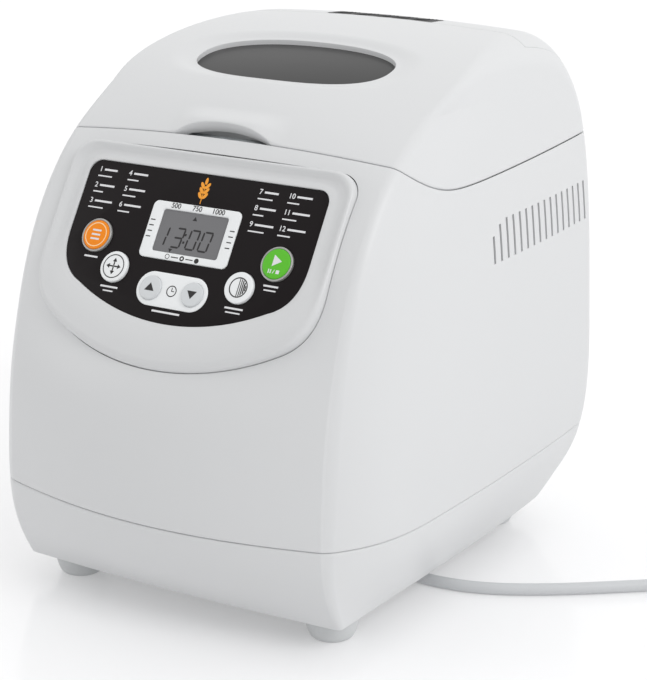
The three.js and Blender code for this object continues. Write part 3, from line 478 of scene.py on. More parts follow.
def slope(p, shape):
    step = 0.15
    grad = np.stack([shape(p + step * axis) - shape(p - step * axis) for axis in np.eye(3)], -1)
    return grad / np.linalg.norm(grad, axis=-1, keepdims=True)


def polish(obj, shape=hull, sharp=32):
    """Gives the outer skin of a shell the exact normals of the shape it was made from."""
    mesh = obj.data
    shade(mesh, sharp)
    places = read(mesh.vertices, "co", 3) / MM
    on_skin = np.abs(shape(places)) < 0.06
    exact = slope(places, shape)
    corner_vertex = read(mesh.loops, "vertex_index", kind=int)
    sides = read(mesh.polygons, "loop_total", kind=int)
    corner_face = np.repeat(read(mesh.polygons, "normal", 3), sides, axis=0)
    chosen = exact[corner_vertex]
    facing = np.einsum("ij,ij->i", chosen, corner_face) > 0.8
    chosen = np.where((on_skin[corner_vertex] & facing)[:, None], chosen, 0.0)
    mesh.normals_split_custom_set(chosen.tolist())


def crowded_azimuths(count):
    """Azimuths all round, closer together where the casing has its corners."""
    fine = np.linspace(-math.pi, math.pi, 20001)
    weight = np.ones_like(fine)
    for centre, width, extra in ((-54, 4.5, 7), (-126, 4.5, 7), (-42, 6, 2), (-138, 6, 2),
                                 (48, 11, 1.5), (132, 11, 1.5)):
        weight += extra * np.exp(-((np.degrees(fine) - centre) / width) ** 2)
    total = np.cumsum(weight)
    total = (total - total[0]) / (total[-1] - total[0])
    return np.interp(np.arange(count) / count, total, fine)


AROUND = crowded_azimuths(400)
SEAM_HALF = 0.28
# Steps over a rounded shell edge: (back from the edge, inset).
EDGE_STEPS = [(1.1, 0.0), (0.45, 0.08), (0.12, 0.3), (0.0, 0.75)]
PER_MM = 1 / 165


def shell_rows(low, high, rows, inner_rows, shape=hull):
    """Outer skin from low to high rise, over the top edge, down inside and round again."""
    made = []
    for back_mm, inset in reversed(EDGE_STEPS):
        made.append(cast(ray(AROUND, low + back_mm * PER_MM), inset, shape))
    start, end = low + 1.1 * PER_MM, high - 1.1 * PER_MM
    for t in np.linspace(0, 1, rows + 1)[1:-1]:
        made.append(cast(ray(AROUND, start + (end - start) * t), 0.0, shape))
    for back_mm, inset in EDGE_STEPS:
        made.append(cast(ray(AROUND, high - back_mm * PER_MM), inset, shape))
    for t in np.linspace(1, 0, inner_rows):
        made.append(cast(ray(AROUND, low + (high - low) * t), WALL, hull))
    return made


# ---- base

base_low = rise_at(AROUND, lambda x, y: np.full_like(x, BASE_BOTTOM))
base_high = rise_at(AROUND, lambda x, y: np.full_like(x, BASE_SEAM - SEAM_HALF))
rows = []
for back_mm, inset in reversed(EDGE_STEPS):
    rows.append(cast(ray(AROUND, base_low + back_mm * PER_MM * 1.3), inset * 1.6))
for t in np.linspace(0, 1, 24)[1:-1]:
    rows.append(cast(ray(AROUND, base_low + (base_high - base_low) * (0.03 + 0.94 * t))))
for back_mm, inset in EDGE_STEPS:
    rows.append(cast(ray(AROUND, base_high - back_mm * PER_MM), inset))
for t in np.linspace(1, 0, 6):
    ring = cast(ray(AROUND, base_low + 0.02 + (base_high - base_low - 0.02) * t), WALL)
    rows.append(ring)
underside = rows[0].copy()
underside[:, 2] = BASE_BOTTOM
inside = rows[-1].copy()
inside[:, 2] = BASE_BOTTOM + WALL
verts, faces = weave([underside, *rows, inside], start_cap=True, end_cap=True)
base = piece("base_skin", verts, faces, WHITE, "casing", replaces=["base_shell"], slot="white_shell")
slots = [box_mesh(-70, -20, y, y + 5, 0, 20) for y in (-40, -20, 0)]
carve(base, [box_mesh(14, 62, -18, 0, 0, 20), *slots])
polish(base)

# ---- body

PANEL_PLACE = Matrix.Translation((0, -103.3, 195)) @ Matrix.Rotation(math.radians(58), 4, "X")


def on_panel(part):
    """Takes a mesh drawn flat, x across, y up the slope, z outwards, to the panel."""
    verts, faces = part
    return [tuple(PANEL_PLACE @ Vector(v)) for v in verts], faces


def arc(cx, cy, radius, start, end, count):
    angles = np.linspace(start, end, count)
    return [(cx + radius * math.cos(a), cy + radius * math.sin(a)) for a in angles]


def even_outline(points, count):
    """An outline resampled to evenly spaced points."""
    p = np.array(points, float)
    closed = np.vstack([p, p[:1]])
    run = np.concatenate([[0], np.cumsum(np.linalg.norm(np.diff(closed, axis=0), axis=1))])
    at = np.arange(count) / count * run[-1]
    return np.column_stack([np.interp(at, run, closed[:, i]) for i in (0, 1)])


def shield(half, top, low, corner, radius, reach, shoulder, bend, grow=0.0, count=320):
    """Straight top and sides with one long arc below: the panel's outlines."""
    half, top, low, radius = half + grow, top + grow, low - grow, radius + grow
    middle = low + radius
    lift = math.acos(reach / radius)
    end_y = middle - radius * math.sin(lift)
    points = arc(half - corner, top - corner, corner, 0, math.pi / 2, 16)
    points += arc(-half + corner, top - corner, corner, math.pi / 2, math.pi, 16)
    turn = np.linspace(0, 1, 24)[:, None]

    def bow(a, b, c):
        return [tuple(q) for q in (1 - turn) ** 2 * a + 2 * turn * (1 - turn) * b + turn ** 2 * c]

    left = [np.array(q) for q in ((-half, shoulder), (-half, end_y + bend), (-reach, end_y))]
    right = [np.array((-q[0], q[1])) for q in reversed(left)]
    points += bow(*left)
    points += arc(0, middle, radius, math.pi + lift, 2 * math.pi - lift, 60)
    points += bow(*right)
    return even_outline(points, count)


def frame_outline(grow=0.0):
    return shield(half=86.5, top=50, low=-65, corner=13, radius=132, reach=68, shoulder=-12, bend=10,
                  grow=grow)


def film_outline(grow=0.0):
    return shield(half=73.5, top=39, low=-41, corner=7, radius=124, reach=58, shoulder=0, bend=6,
                  grow=grow)


VENT_COUNT, VENT_FIRST, VENT_PITCH, VENT_WIDTH = 16, 4.7, 7.75, 2.2
VENT_BOTTOM, VENT_TOP = 178.5, 200.0
VENT_SHORTER = [7, 2]  # how much the two front slots stop short at the top
body_low = rise_at(AROUND, lambda x, y: np.full_like(x, BASE_SEAM + SEAM_HALF))
body_high = rise_at(AROUND, lambda x, y: seam_height(y) - SEAM_HALF)
verts, faces = weave(shell_rows(body_low, body_high, 56, 14), rows_close=True)
body = piece("body_skin", verts, faces, WHITE, "casing", replaces=["body_shell"], slot="white_shell")
pocket = on_panel(prism(frame_outline(0.35), -24, 40))
vents = []
for i in range(VENT_COUNT):
    y = VENT_FIRST + i * VENT_PITCH
    top = VENT_TOP - (VENT_SHORTER[i] if i < len(VENT_SHORTER) else 0)
    vents.append(box_mesh(-140, 140, y, y + VENT_WIDTH, VENT_BOTTOM, top))
carve(body, [pocket, *vents])
polish(body)

# ---- control panel frame



def from_top_middle(outline):
    """The same outline, started at the middle of its top edge."""
    start = np.argmin(np.abs(outline[:, 0]) + (outline[:, 1] < 0) * 1000)
    return np.roll(outline, -start, axis=0)


outer_line = from_top_middle(frame_outline())
inner_line = from_top_middle(film_outline(0.25))
lowness = smooth_step((4 - outer_line[:, 1]) / 50)


def frame_row(t, height):
    flat = outer_line + (inner_line - outer_line) * t
    return np.column_stack([flat, np.broadcast_to(height, len(flat))])


rows = [frame_row(0.02, -9.0), frame_row(0.0, -8.6), frame_row(0.0, -1.2), frame_row(0.012, 0.2),
        frame_row(0.045, 1.2), frame_row(0.1, 1.9)]
for t in np.linspace(0.16, 0.9, 16):
    ridge = 2.1 - 2.3 * smooth_step((t - 0.1) / 0.4) + 0.9 * smooth_step((t - 0.6) / 0.3)
    bulge = 2.0 + 1.5 * math.sin(math.pi * t) - 1.1 * t
    rows.append(frame_row(t, ridge * (1 - lowness) + bulge * lowness))
rows += [frame_row(0.95, 0.9), frame_row(0.985, 0.75), frame_row(1.0, 0.45), frame_row(1.0, -1.0),
         frame_row(0.9, -1.4), frame_row(0.9, -3.0), frame_row(0.12, -3.0)]
part = on_panel(weave(rows, rows_close=True))
piece("panel_frame", *part, FRAME_WHITE, "casing", replaces=["control_panel_frame"],
      slot="white_shell", sharp=50)

# ---- lid

def window_outline(grow, directions):
    """Points of the window's outline, grown, in the given directions from its middle."""
    cos, sin = np.cos(directions), np.sin(directions)
    half_x, half_y = WINDOW_HALF_X + grow, WINDOW_HALF_Y + grow
    total = np.abs(cos / half_x) ** WINDOW_POWER + np.abs(sin / half_y) ** WINDOW_POWER
    reach = total ** (-1 / WINDOW_POWER)
    return reach * cos, WINDOW_Y + reach * sin


def lid_level(x, y):
    """Lower edge of the lid: the seam, raised in an arch over the finger grip."""
    arch = ARCH_RISE * np.clip(1 - (x / ARCH_HALF) ** 2, 0, 1) ** 0.75
    return seam_height(y) + SEAM_HALF + np.where(y < FRONT_ONLY, arch, 0)


lid_low = rise_at(AROUND, lid_level, shape=skin)
edge_rows = []
for back_mm, inset in reversed(EDGE_STEPS):
    edge_rows.append(cast(ray(AROUND, lid_low + back_mm * PER_MM), inset, skin))
first = edge_rows[-1]
# The columns turn smoothly from the seam to evenly spread directions round the window.
turns = np.unwrap(np.arctan2(first[:, 1] - WINDOW_Y, first[:, 0]))
even = np.linspace(0, 2 * math.pi, len(turns), endpoint=False) + turns[0]
spread_turns = 0.35 * turns + 0.65 * even
wx, wy = window_outline(0.0, spread_turns)
rim = np.stack([wx, wy, skin_height(wx, wy, 0.0, skin)], axis=-1)
from_dir = (first - HUB) / np.linalg.norm(first - HUB, axis=1, keepdims=True)
to_dir = (rim - HUB) / np.linalg.norm(rim - HUB, axis=1, keepdims=True)


def between(t, inset, shape):
    direction = from_dir + (to_dir - from_dir) * t
    direction /= np.linalg.norm(direction, axis=1, keepdims=True)
    return cast(direction, inset, shape)


steps = np.concatenate([np.linspace(0, 0.82, 52), np.linspace(0.84, 0.985, 18)])[1:]
rows = edge_rows + [between(t, 0.0, skin) for t in steps]


def window_ring(grow, drop):
    x, y = window_outline(grow, spread_turns)
    return np.stack([x, y, skin_height(x, y, 0.0, hull) - WINDOW_SINK - drop], axis=-1)


rows += [window_ring(0.35, 0.02), window_ring(0.08, 0.2), window_ring(0, 0.6), window_ring(0.1, 3.8),
         window_ring(2.2, 4.0), window_ring(3.0, 1.2)]
inner_from = cast(ray(AROUND, lid_low), WALL, hull)
for t in np.linspace(0.94, 0, 16):
    rows.append(between(t, WALL, hull) if t > 0 else inner_from)
lid_verts, lid_faces = weave(rows, rows_close=True)


def lid_piece(name, node, operation, cutters):
    obj = piece(name, lid_verts, lid_faces, WHITE, "lid", replaces=[node], slot="white_shell")
    carve(obj, cutters[0], operation)
    carve(obj, cutters[1])
    polish(obj, skin)
    return obj


hinge_room = [box_mesh(-140, 140, 132, 200, 200, 242.5)]
REAR_HALF, REAR_FROM = 93.0, 79.6
lid_piece("lid_skin", "lid_outer", "DIFFERENCE",
          ([box_mesh(-REAR_HALF - 0.3, REAR_HALF + 0.3, REAR_FROM - 0.4, 200, 235, 330)], hinge_room))
rear = lid_piece("lid_rear_skin", "lid_rear_panel", "INTERSECT",
                 ([box_mesh(-REAR_HALF, REAR_HALF, REAR_FROM, 201, 235, 331)], hinge_room))
GRILLE_HALF_X, GRILLE_FRONT, GRILLE_REAR, GRILLE_GAP = 34.0, 81.2, 96.5, 0.3
carve(rear, [box_mesh(-GRILLE_HALF_X - GRILLE_GAP, GRILLE_HALF_X + GRILLE_GAP,
                      GRILLE_FRONT - GRILLE_GAP, GRILLE_REAR + GRILLE_GAP, 250, 330)])
polish(rear, skin)

# ---- window pane

turn = np.linspace(0, 2 * math.pi, 96, endpoint=False)


def pane_ring(scale, drop):
    x, y = window_outline(1.6, turn)
    x, y = x * scale, WINDOW_Y + (y - WINDOW_Y) * scale
    return np.stack([x, y, skin_height(x, y, 0.0, hull) - WINDOW_SINK - drop], axis=-1)


tops = [pane_ring(s, 2.7) for s in (0.02, 0.25, 0.5, 0.75, 0.9, 1.0)]
lows = [pane_ring(s, 4.2) for s in (1.0, 0.5, 0.02)]
verts, faces = weave(tops + lows, start_cap=True, end_cap=True)
piece("window_pane", verts, faces, SMOKED, "lid", replaces=["lid_window"], slot="smoked_glass")

# ---- finger grip: a dished pocket behind the arch

grip_x = np.linspace(-GRIP_HALF, GRIP_HALF, 41)
grip_azimuth = np.arctan2(-88.0, grip_x)
bow = np.maximum(0.0, 1 - (grip_x / GRIP_HALF) ** 2)
pocket_rows = []
for up in np.linspace(0.6, GRIP_RISE, 12):
    level = np.full_like(bow, up) if up < 1 else up * (0.25 + 0.75 * bow ** 0.6)
    depth = 1.2 + GRIP_DEPTH * bow ** 0.8 * (1 - up / (GRIP_RISE + 0.5)) ** 0.5
    rise = rise_at(grip_azimuth, lambda x, y, level=level: seam_height(y) + level)
    pocket_rows.append(cast(ray(grip_azimuth, rise), depth))
verts, faces = weave(pocket_rows, columns_close=False)
grip = piece("finger_grip", verts, faces, WHITE, "lid", slot="white_shell", turn_out=False)
thick = grip.modifiers.new("thick", "SOLIDIFY")
thick.thickness = 0.0008

# ---- top vent grille

grille_line = rounded_rect(34, 7.65, 1.5, 88.85)
tops = skin_height(grille_line[:, 0], grille_line[:, 1])
verts, faces = weave([np.column_stack([grille_line, tops - 5]),
                      np.column_stack([grille_line, tops - 0.1]),
                      np.column_stack([grille_line * (0.985, 1), tops + 0.2])],
                     start_cap=True, end_cap=True)
grille = piece("top_grille", verts, faces, BLACK, "lid", replaces=["top_vent_grille"],
               slot="black_plastic")


def slanted_slot(x, width, lean, y0, y1, z0, z1):
    outline = np.array([(x, y0), (x + width, y0), (x + width + lean, y1), (x + lean, y1)])
    return prism(outline, z0, z1)


SLOT_STARTS = [-31.5 + i * 12.6 for i in range(5)]
SLOT_LEAN, RIB_PITCH, RIB_WIDTH = 3.2, 2.4, 0.8
carve(grille, [slanted_slot(x, 9.6, SLOT_LEAN, 83.4, 94.4, 284.5, 300) for x in SLOT_STARTS])
shade(grille.data, 30)
ribs = [slanted_slot(x + RIB_PITCH * k, RIB_WIDTH, SLOT_LEAN, 82.6, 95.2, 284.4, 286.9)
        for x in SLOT_STARTS for k in (1, 2, 3)]
piece("top_grille_ribs", *joined(*ribs), BLACK, "lid", slot="black_plastic", sharp=30)

# ---------------------------------------------------------------- feet

foot_profile = [(8.5, 0), (10.2, 0.3), (11.4, 1.4), (12.6, 4.0), (13.6, 7.5), (14.3, 11.0),
                (14.4, 12.6), (14.2, 13.4)]
for place, (x, y) in {"front_right": (81, -94.5), "front_left": (-81, -94.5),
                      "rear_right": (72, 92), "rear_left": (-72, 92)}.items():
    part = lathe(foot_profile, 64, (x, y))
    piece("rubber_foot_" + place, *part, FOOT, "casing", replaces=["foot_" + place],
          slot="grey_rubber", sharp=40)

# ---------------------------------------------------------------- control panel

FILM_TOP, PLATE_TOP, BEZEL_TOP, KEY_TOP = 0.3, 0.8, 0.9, 1.9
DISPLAY_Y, TIME_Y = 6.8, -24.0  # up the panel: middle of the display and of the time keys
PRINT = 0.03


def panel_piece(name, part, look, body="casing", **others):
    return piece(name, *on_panel(part), look, body, **others)


def tube_ring(cx, cy, inner, outer, z0, z1, sides=72):
    """A flat ring."""
    return turned_ring([(inner, z0), (outer, z0), (outer, z1), (inner, z1)], sides, (cx, cy))


def disc(cx, cy, radius, z0, z1, sides=72):
    return lathe([(radius, z0), (radius, z1)], sides, (cx, cy))


KEYS = {
    "menu": (-55.5, -1.5, 9.0), "size": (-38.5, -16.5, 8.2), "time_up": (-12.8, TIME_Y, 6.4),
    "time_down": (12.8, TIME_Y, 6.4), "colour": (38.5, -16.5, 8.2), "start": (55.5, -1.5, 9.0),
}


def wells(gap):
    """What the keys need cut free round them."""
    return [on_panel(disc(x, y, r + gap, -6, 6)) for x, y, r in KEYS.values()]


film_rows = []
for grow, height in ((-0.1, -0.8), (0, -0.7), (0, 0.12), (-0.08, 0.25), (-0.22, FILM_TOP)):
    film_rows.append(at_height(film_outline(grow), height))
film = panel_piece("control_film", weave(film_rows, start_cap=True, end_cap=True), FILM,
                   replaces=["control_fascia"], slot="black_film", sharp=50)
carve(film, wells(0.3) + [on_panel(prism(rounded_rect(27.3, 15.5, 3.2, DISPLAY_Y), -6, 6))])
shade(film.data, 40)

bezel_rows = []
for half_x, half_y, corner, height in (
        (27, 15.2, 3, -0.8), (27, 15.2, 3, 0.6), (26.8, 15.0, 2.9, 0.82),
        (26.4, 14.6, 2.7, BEZEL_TOP), (20.8, 12.1, 1.9, BEZEL_TOP), (20.3, 11.6, 1.6, 0.75),
        (20, 11.3, 1.5, 0.3), (20, 11.3, 1.5, -0.8)):
    bezel_rows.append(at_height(rounded_rect(half_x, half_y, corner, DISPLAY_Y), height))
panel_piece("display_surround", weave(bezel_rows, rows_close=True), PALE,
            replaces=["display_bezel"], slot="pale_key", sharp=45)
panel_piece("display_pane", prism(rounded_rect(19.95, 11.25, 1.4, DISPLAY_Y), -0.8, 0.05), DISPLAY,
            replaces=["display_glass"], slot="display_grey")

plate_rows = []
for grow, height in ((0, -0.8), (0, 0.5), (-0.2, 0.72), (-0.5, PLATE_TOP)):
    plate_rows.append(at_height(rounded_rect(21.5 + grow, 9 + grow, 8.99 + grow, TIME_Y), height))
plate = panel_piece("time_plate", weave(plate_rows, start_cap=True, end_cap=True), PALE,
                    replaces=["time_key_plate"], slot="pale_key", sharp=45)
carve(plate, wells(0.14))
shade(plate.data, 40)

CAP_LOOKS = {"menu": (ORANGE, "orange_key"), "start": (GREEN, "green_key"),
             "size": (PALE, "pale_key"), "colour": (PALE, "pale_key"),
             "time_up": (PALE_GREY, "pale_key"), "time_down": (PALE_GREY, "pale_key")}
for key, (x, y, r) in KEYS.items():
    look, slot_name = CAP_LOOKS[key]
    rimmed = key in ("menu", "start")
    face = r - 1.15 if rimmed else r
    profile = [(r + 1.2, -4.6), (r + 1.2, -2.9), (face, -2.9), (face, 1.35), (face - 0.12, 1.62),
               (face - 0.4, 1.82), (face - 0.9, KEY_TOP), (face * 0.5, KEY_TOP + 0.02),
               (0.02, KEY_TOP + 0.02)]
    panel_piece(key + "_cap", lathe(profile, 72, (x, y)), look, key + "_button",
                replaces=[key + "_key"], slot=slot_name, sharp=40)
    if rimmed:
        rim_profile = [(r - 1.1, -2.8), (r, -2.8), (r, 1.2), (r - 0.15, 1.5), (r - 0.55, 1.66),
                       (r - 0.95, 1.5), (r - 1.1, 1.2)]
        panel_piece(key + "_rim", turned_ring(rim_profile, centre=(x, y)), SILVER, key + "_button",
                    slot="pale_key", sharp=50)


# ---- prints: generic marks only


def text(words, x, y, size, top, align="LEFT"):
    """Flat lettering on the panel, as (verts, faces) in panel millimetres."""
    curve = bpy.data.curves.new("words", "FONT")
    curve.body = words
    curve.size = size
    curve.align_x = align
    curve.align_y = "CENTER"
    curve.extrude = PRINT
    curve.offset = 0.012 * size
    writer = bpy.data.objects.new("words", curve)
    scene.collection.objects.link(writer)
    bpy.context.view_layer.update()
    graph = bpy.context.evaluated_depsgraph_get()
    mesh = bpy.data.meshes.new_from_object(writer.evaluated_get(graph))
    verts = [(v.co.x + x, v.co.y + y, v.co.z + top) for v in mesh.vertices]
    faces = [tuple(f.vertices) for f in mesh.polygons]
    bpy.data.objects.remove(writer)
    bpy.data.meshes.remove(mesh)
    return verts, faces


def bar(x0, x1, y, height, top):
    return box_mesh(x0, x1, y - height / 2, y + height / 2, top - PRINT, top + PRINT)


def flat(points, top):
    return prism(np.array(points, float), top - PRINT, top + PRINT)


def turned(points, angle, cx, cy, scale=1.0):
    cos, sin = math.cos(angle) * scale, math.sin(angle) * scale
    return [(cx + px * cos - py * sin, cy + px * sin + py * cos) for px, py in points]


def marks(name, parts, look, body="casing", slot_name="pale_key"):
    panel_piece(name, joined(*parts), look, body, slot=slot_name, turn_out=False, sharp=20)


film_face = FILM_TOP + PRINT
printed = []
FIRST_LINES = [12.5, 9.8, 11.2, 13.0, 10.6, 12.0]
SECOND_LINES = [7.4, 8.8, 6.2, 9.4, 7.0, 8.2]
number = 1
for side_columns in ((-67.5, -48.5), (32.5, 50.0)):
    for column in side_columns:
        for height in (34.0, 25.4, 16.8):
            printed.append(text(str(number), column, height, 3.9, film_face))
            first, second = FIRST_LINES[number % 6], SECOND_LINES[number % 6]
            bar_from = column + (2.4 if number < 10 else 4.2) + 0.8
            printed.append(bar(bar_from, bar_from + first * 0.84, height, 1.05, film_face))
            printed.append(bar(column + 0.2, column + 0.2 + second, height - 3.6, 0.7, film_face))
            number += 1
LABELS = {"menu": (8.4, 0), "size": (10.8, 6.2), "colour": (10.8, 8.6), "start": (8.6, 7.0)}
for key, (first, second) in LABELS.items():
    x, y, r = KEYS[key]
    printed.append(bar(x - first / 2, x + first / 2, y - r - 2.4, 0.95, film_face))
    if second:
        printed.append(bar(x - second / 2, x + second / 2, y - r - 4.6, 0.7, film_face))
printed.append(bar(-8.5, 8.5, -35.2, 1.0, film_face))
marks("panel_print", printed, INK_WHITE)

round_grain = np.linspace(0, 2 * math.pi, 20, endpoint=False)
grain_shape = [(0.95 * math.cos(a), 2.1 * math.sin(a)) for a in round_grain]
ear = [flat(turned(grain_shape, 0, 0, 35.4, 0.9), film_face)]
for step in range(3):
    for side in (-1, 1):
        leaning = turned(grain_shape, -side * 0.62, side * 1.6, 33.0 - step * 2.7, 0.95)
        ear.append(flat(leaning, film_face))
ear.append(bar(-0.22, 0.22, 28.0, 9.6, film_face))
marks("wheat_mark", ear, INK_ORANGE)

bezel_face = BEZEL_TOP + PRINT
dark = [text(words, x, 20.1, 3.9, bezel_face, "CENTER")
        for words, x in (("500", -13), ("750", 0), ("1000", 13))]
for x in (-24.4, 24.4):
    dark += [bar(x - 1.4, x + 1.4, DISPLAY_Y + d, 0.55, bezel_face) for d in (4.6, 1.6, -1.4, -4.4)]
for x, inner in ((-9, 1.05), (0, 0.62), (9, 0.02)):
    dark.append(tube_ring(x, -6.6, inner, 1.35, bezel_face - PRINT, bezel_face + PRINT, 32))
dark += [bar(x - 2.2, x + 2.2, -6.6, 0.5, bezel_face) for x in (-4.5, 4.5)]
marks("display_marks", dark, INK_DARK)

# ---- the display's figures

SEGMENTS = {"0": "abcdef", "1": "bc", "3": "abcdg"}


def digit(figure, x, y, width, height, top):
    """A seven-segment figure with its lower left corner at x, y."""
    thick, gap = 0.95, 0.16
    w, h = width, height / 2
    spots = {"a": (0, 2 * h, w, 2 * h), "g": (0, h, w, h), "d": (0, 0, w, 0), "f": (0, h, 0, 2 * h),
             "b": (w, h, w, 2 * h), "e": (0, 0, 0, h), "c": (w, 0, w, h)}
    parts = []
    for name in SEGMENTS[figure]:
        ax, ay, bx, by = spots[name]
        length = math.hypot(bx - ax, by - ay) - 2 * gap
        half = thick / 2
        bone = [(gap, 0), (gap + half, half), (gap + length - half, half), (gap + length, 0),
                (gap + length - half, -half), (gap + half, -half)]
        angle = math.atan2(by - ay, bx - ax)
        lean = [(px + (py + ay) * 0.08, py) for px, py in turned(bone, angle, ax, ay)]
        parts.append(flat([(x + px, y + py) for px, py in lean], top))
    return parts


pane_face = 0.05 + PRINT
figures = []
for figure, x in (("1", -19.6), ("3", -9.9), ("0", -0.9), ("0", 6.9)):
    figures += digit(figure, x, -1.2, 5.2, 10.2, pane_face)
for y in (2.0, 6.0):
    dot = [(-3.3, y - 0.6), (-2.2, y - 0.6), (-2.1, y + 0.6), (-3.2, y + 0.6)]
    figures.append(flat(dot, pane_face))
figures.append(flat([(-1.3, 14.0), (1.3, 14.0), (0, 16.2)], pane_face))
figures.append(flat([(-10.4, -2.2), (-9.2, -4.2), (-8.0, -2.2)], pane_face))
marks("display_figures", figures, INK_DARK, slot_name="display_grey")

# ---- marks on the keys

key_face = KEY_TOP + 0.02 + PRINT
x, y, r = KEYS["menu"]
marks("menu_ring", [tube_ring(x, y, 6.0, 6.55, key_face - PRINT, key_face + PRINT)], INK_PEACH,
      "menu_button", "orange_key")
marks("menu_bars", [bar(x - 2.7, x + 2.7, y + d, 0.95, key_face) for d in (-2.3, 0, 2.3)], INK_WHITE,
      "menu_button", "orange_key")
x, y, r = KEYS["size"]
arrow = [(0.2, -0.35), (2.5, -0.35), (2.5, -1.3), (4.5, 0), (2.5, 1.3), (2.5, 0.35), (0.2, 0.35)]
cross = [flat(turned(arrow, q * math.pi / 2, x, y), key_face) for q in range(4)]
marks("size_marks", [tube_ring(x, y, 5.9, 6.4, key_face - PRINT, key_face + PRINT), *cross], INK_DARK,
      "size_button")
x, y, r = KEYS["colour"]
hatch = [bar(x + d, x + d + wide, y, 2 * math.sqrt(4.6 ** 2 - (d + wide) ** 2), key_face)
         for d, wide in ((-0.2, 0.45), (0.9, 0.5), (1.9, 0.6), (2.9, 0.7), (3.8, 0.6))]
marks("colour_marks", [tube_ring(x, y, 4.7, 5.3, key_face - PRINT, key_face + PRINT), *hatch],
      INK_DARK, "colour_button")
x, y, r = KEYS["start"]
low = y - 4.2  # the row of pause, stroke and stop under the start mark
start_mark = [(x - 2.0, y - 1.6), (x + 3.0, y + 1.4), (x - 2.0, y + 4.4)]
stroke = [(x - 0.7, low - 1.0), (x - 0.3, low - 1.0), (x + 0.5, low + 1.0), (x + 0.1, low + 1.0)]
marks("start_marks", [flat(start_mark, key_face), bar(x - 3.3, x - 2.7, low, 2.1, key_face),
                      bar(x - 2.1, x - 1.5, low, 2.1, key_face), flat(stroke, key_face),
                      bar(x + 1.3, x + 3.2, low, 1.9, key_face)],
      INK_WHITE, "start_button", "green_key")
for key, tip in (("time_up", 1), ("time_down", -1)):
    x, y, r = KEYS[key]
    points = [(x - 2.9, y - 1.7 * tip), (x + 2.9, y - 1.7 * tip), (x, y + 2.5 * tip)]
    marks(key + "_mark", [flat(points, key_face)], INK_DARK, key + "_button")
plate_face = PLATE_TOP + PRINT
clock = [tube_ring(0, TIME_Y, 2.5, 3.0, plate_face - PRINT, plate_face + PRINT, 48),
         bar(-0.2, 0.2, TIME_Y + 0.9, 2.0, plate_face), bar(0, 1.6, TIME_Y, 0.4, plate_face)]
marks("clock_mark", clock, INK_DARK)

# ---------------------------------------------------------------- mains cord and plug

CORD_ROUTE = [
    (56.9, -9, 8.2), (65, -9.6, 7.2), (74, -10.8, 4.8), (84, -11.4, 3.4), (97, -11.2, 3.2),
    (112, -8.6, 3.2), (128, -2.5, 3.2), (146, 8, 3.2), (164, 21, 3.2), (182, 35.5, 3.2),
    (199, 49, 3.2), (217, 60, 3.2), (236, 65.8, 3.2),
]
TAIL_ROUTE = [
    (300.2, 116, 9.8), (300.2, 129, 9.8), (300.4, 138, 10.6), (300.2, 148, 14), (300.2, 159, 18.2),
    (300.2, 168.6, 19.4),
]
COIL_X, COIL_Y, OUTER_TURN, INNER_TURN = 262.0, 104.0, 38.2, 31.7
CORD_RADIUS = 3.2
LOW, HIGH = CORD_RADIUS, 9.8


def coil_point(travel):
    """The coil after so many degrees of turning from its first point."""
    out = 1 - smooth_step((travel - 300) / 60) + smooth_step((travel - 870) / 60)
    climb = smooth_step((travel - 570) / 90)
    radius = INNER_TURN + (OUTER_TURN - INNER_TURN) * out
    angle = math.radians(travel - 90)
    return (COIL_X + radius * math.cos(angle), COIL_Y + radius * math.sin(angle),
            LOW + (HIGH - LOW) * climb)


coil = [coil_point(t) for t in range(5, 1170, 5)]
lead = spline([*CORD_ROUTE, (249, 65.8, 3.2), (262, 65.8, 3.2)], 110)
tail = spline([coil_point(1160), coil_point(1170), *TAIL_ROUTE], 50)[8:]
cord_points = np.vstack([lead, coil, tail]) * MM
cord_curve = bpy.data.curves.new("flex_cord", "CURVE")
cord_curve.dimensions = "3D"
cord_curve.bevel_depth = CORD_RADIUS * MM
cord_curve.bevel_resolution = 6
cord_curve.use_fill_caps = True
line = cord_curve.splines.new("POLY")
line.points.add(len(cord_points) - 1)
line.points.foreach_set("co", np.column_stack([cord_points, np.ones(len(cord_points))]).ravel())
line.use_smooth = True
cord_curve.materials.append(CORD)
flex = bpy.data.objects.new("flex_cord", cord_curve)
scene.collection.objects.link(flex)
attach(flex, "casing")
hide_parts("mains_cord", "mains_cord_tail", "cord_coil")

PLUG_X, PLUG_Z = 300.2, 19.4


def along_y(part, x):
    verts, faces = part
    return [(x + px, h, PLUG_Z + py) for px, py, h in verts], faces


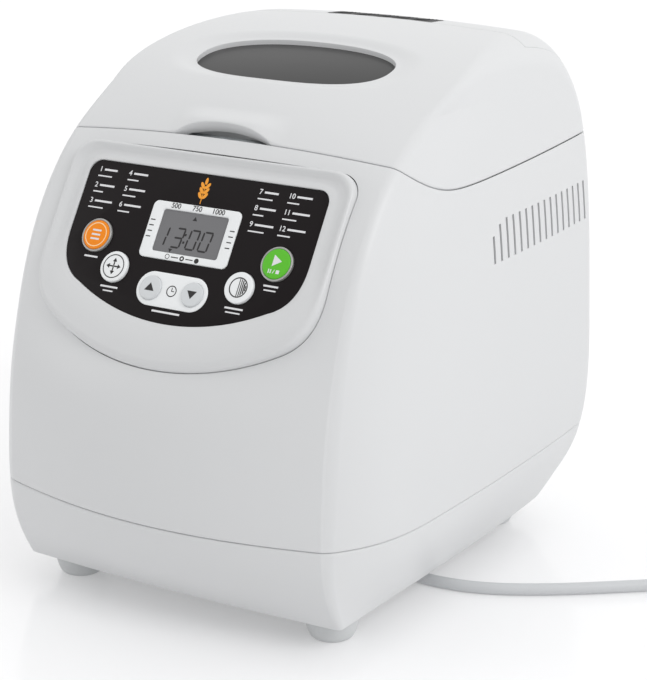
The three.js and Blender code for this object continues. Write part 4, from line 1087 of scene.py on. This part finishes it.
plug_profile = [(3.5, 168.9), (4.6, 169.2), (5.0, 171.0), (4.5, 171.8), (5.6, 173.4),
                (5.1, 174.3), (6.5, 176.0), (6.2, 177.0), (9.0, 180.0), (14.0, 183.0),
                (17.2, 184.4), (18.6, 187.0), (18.9, 191.0), (18.2, 196.0), (17.9, 202.0),
                (18.4, 208.0), (18.9, 213.0), (18.9, 216.4), (18.3, 217.3), (17.0, 217.6)]
plug = piece("plug_body", *along_y(lathe(plug_profile, 64), PLUG_X), CORD, "casing",
             replaces=["mains_plug"], slot="cord_grey", sharp=50)
pin_profile = [(2.35, 217.5), (2.35, 235.0), (2.1, 236.0), (1.3, 236.6)]
pins = piece("plug_pins", *joined(along_y(lathe(pin_profile, 32), PLUG_X - 9.5),
                                  along_y(lathe(pin_profile, 32), PLUG_X + 9.5)), STEEL, "casing",
             slot="steel", sharp=40)

# ---------------------------------------------------------------- the CAD pieces that stay


def soften(obj, limit):
    """Smooth corner normals for a CAD piece, whose vertices stay as they are."""
    mesh = obj.data
    corner_vertex = read(mesh.loops, "vertex_index", kind=int)
    sides = read(mesh.polygons, "loop_total", kind=int)
    own = np.repeat(read(mesh.polygons, "normal", 3), sides, axis=0)
    weight = np.repeat(read(mesh.polygons, "area"), sides)
    spots = np.round(read(mesh.vertices, "co", 3)[corner_vertex] / 1e-6).astype(np.int64)
    _, group = np.unique(spots, axis=0, return_inverse=True)
    order = np.argsort(group.ravel(), kind="stable")
    breaks = np.flatnonzero(np.diff(group.ravel()[order])) + 1
    smooth = own.copy()
    for members in np.split(order, breaks):
        near = own[members] @ own[members].T > math.cos(math.radians(limit))
        smooth[members] = near @ (own[members] * weight[members][:, None])
    smooth /= np.maximum(np.linalg.norm(smooth, axis=1, keepdims=True), 1e-12)
    mesh.shade_smooth()
    mesh.normals_split_custom_set(smooth.tolist())


node_slots = {part["node"]: part["material_slot"] for part in frame["record"]["subparts"]}
for name, obj in NODES.items():
    if obj.hide_render:
        continue
    soften(obj, 32)
    look = SLOT_LOOKS[node_slots[name]]
    obj.data.materials.clear()
    obj.data.materials.append(look)

# ---------------------------------------------------------------- floor

floor_look = material("studio_floor", (226, 226, 227), 0.14, specular=0.45)
glow = floor_look.node_tree.nodes["Principled BSDF"]
glow.inputs["Emission Color"].default_value = (1, 1, 1, 1)
glow.inputs["Emission Strength"].default_value = 0.2
bpy.ops.mesh.primitive_plane_add(size=14)
floor = bpy.context.active_object
floor.name = "studio_floor"
floor.data.materials.append(floor_look)
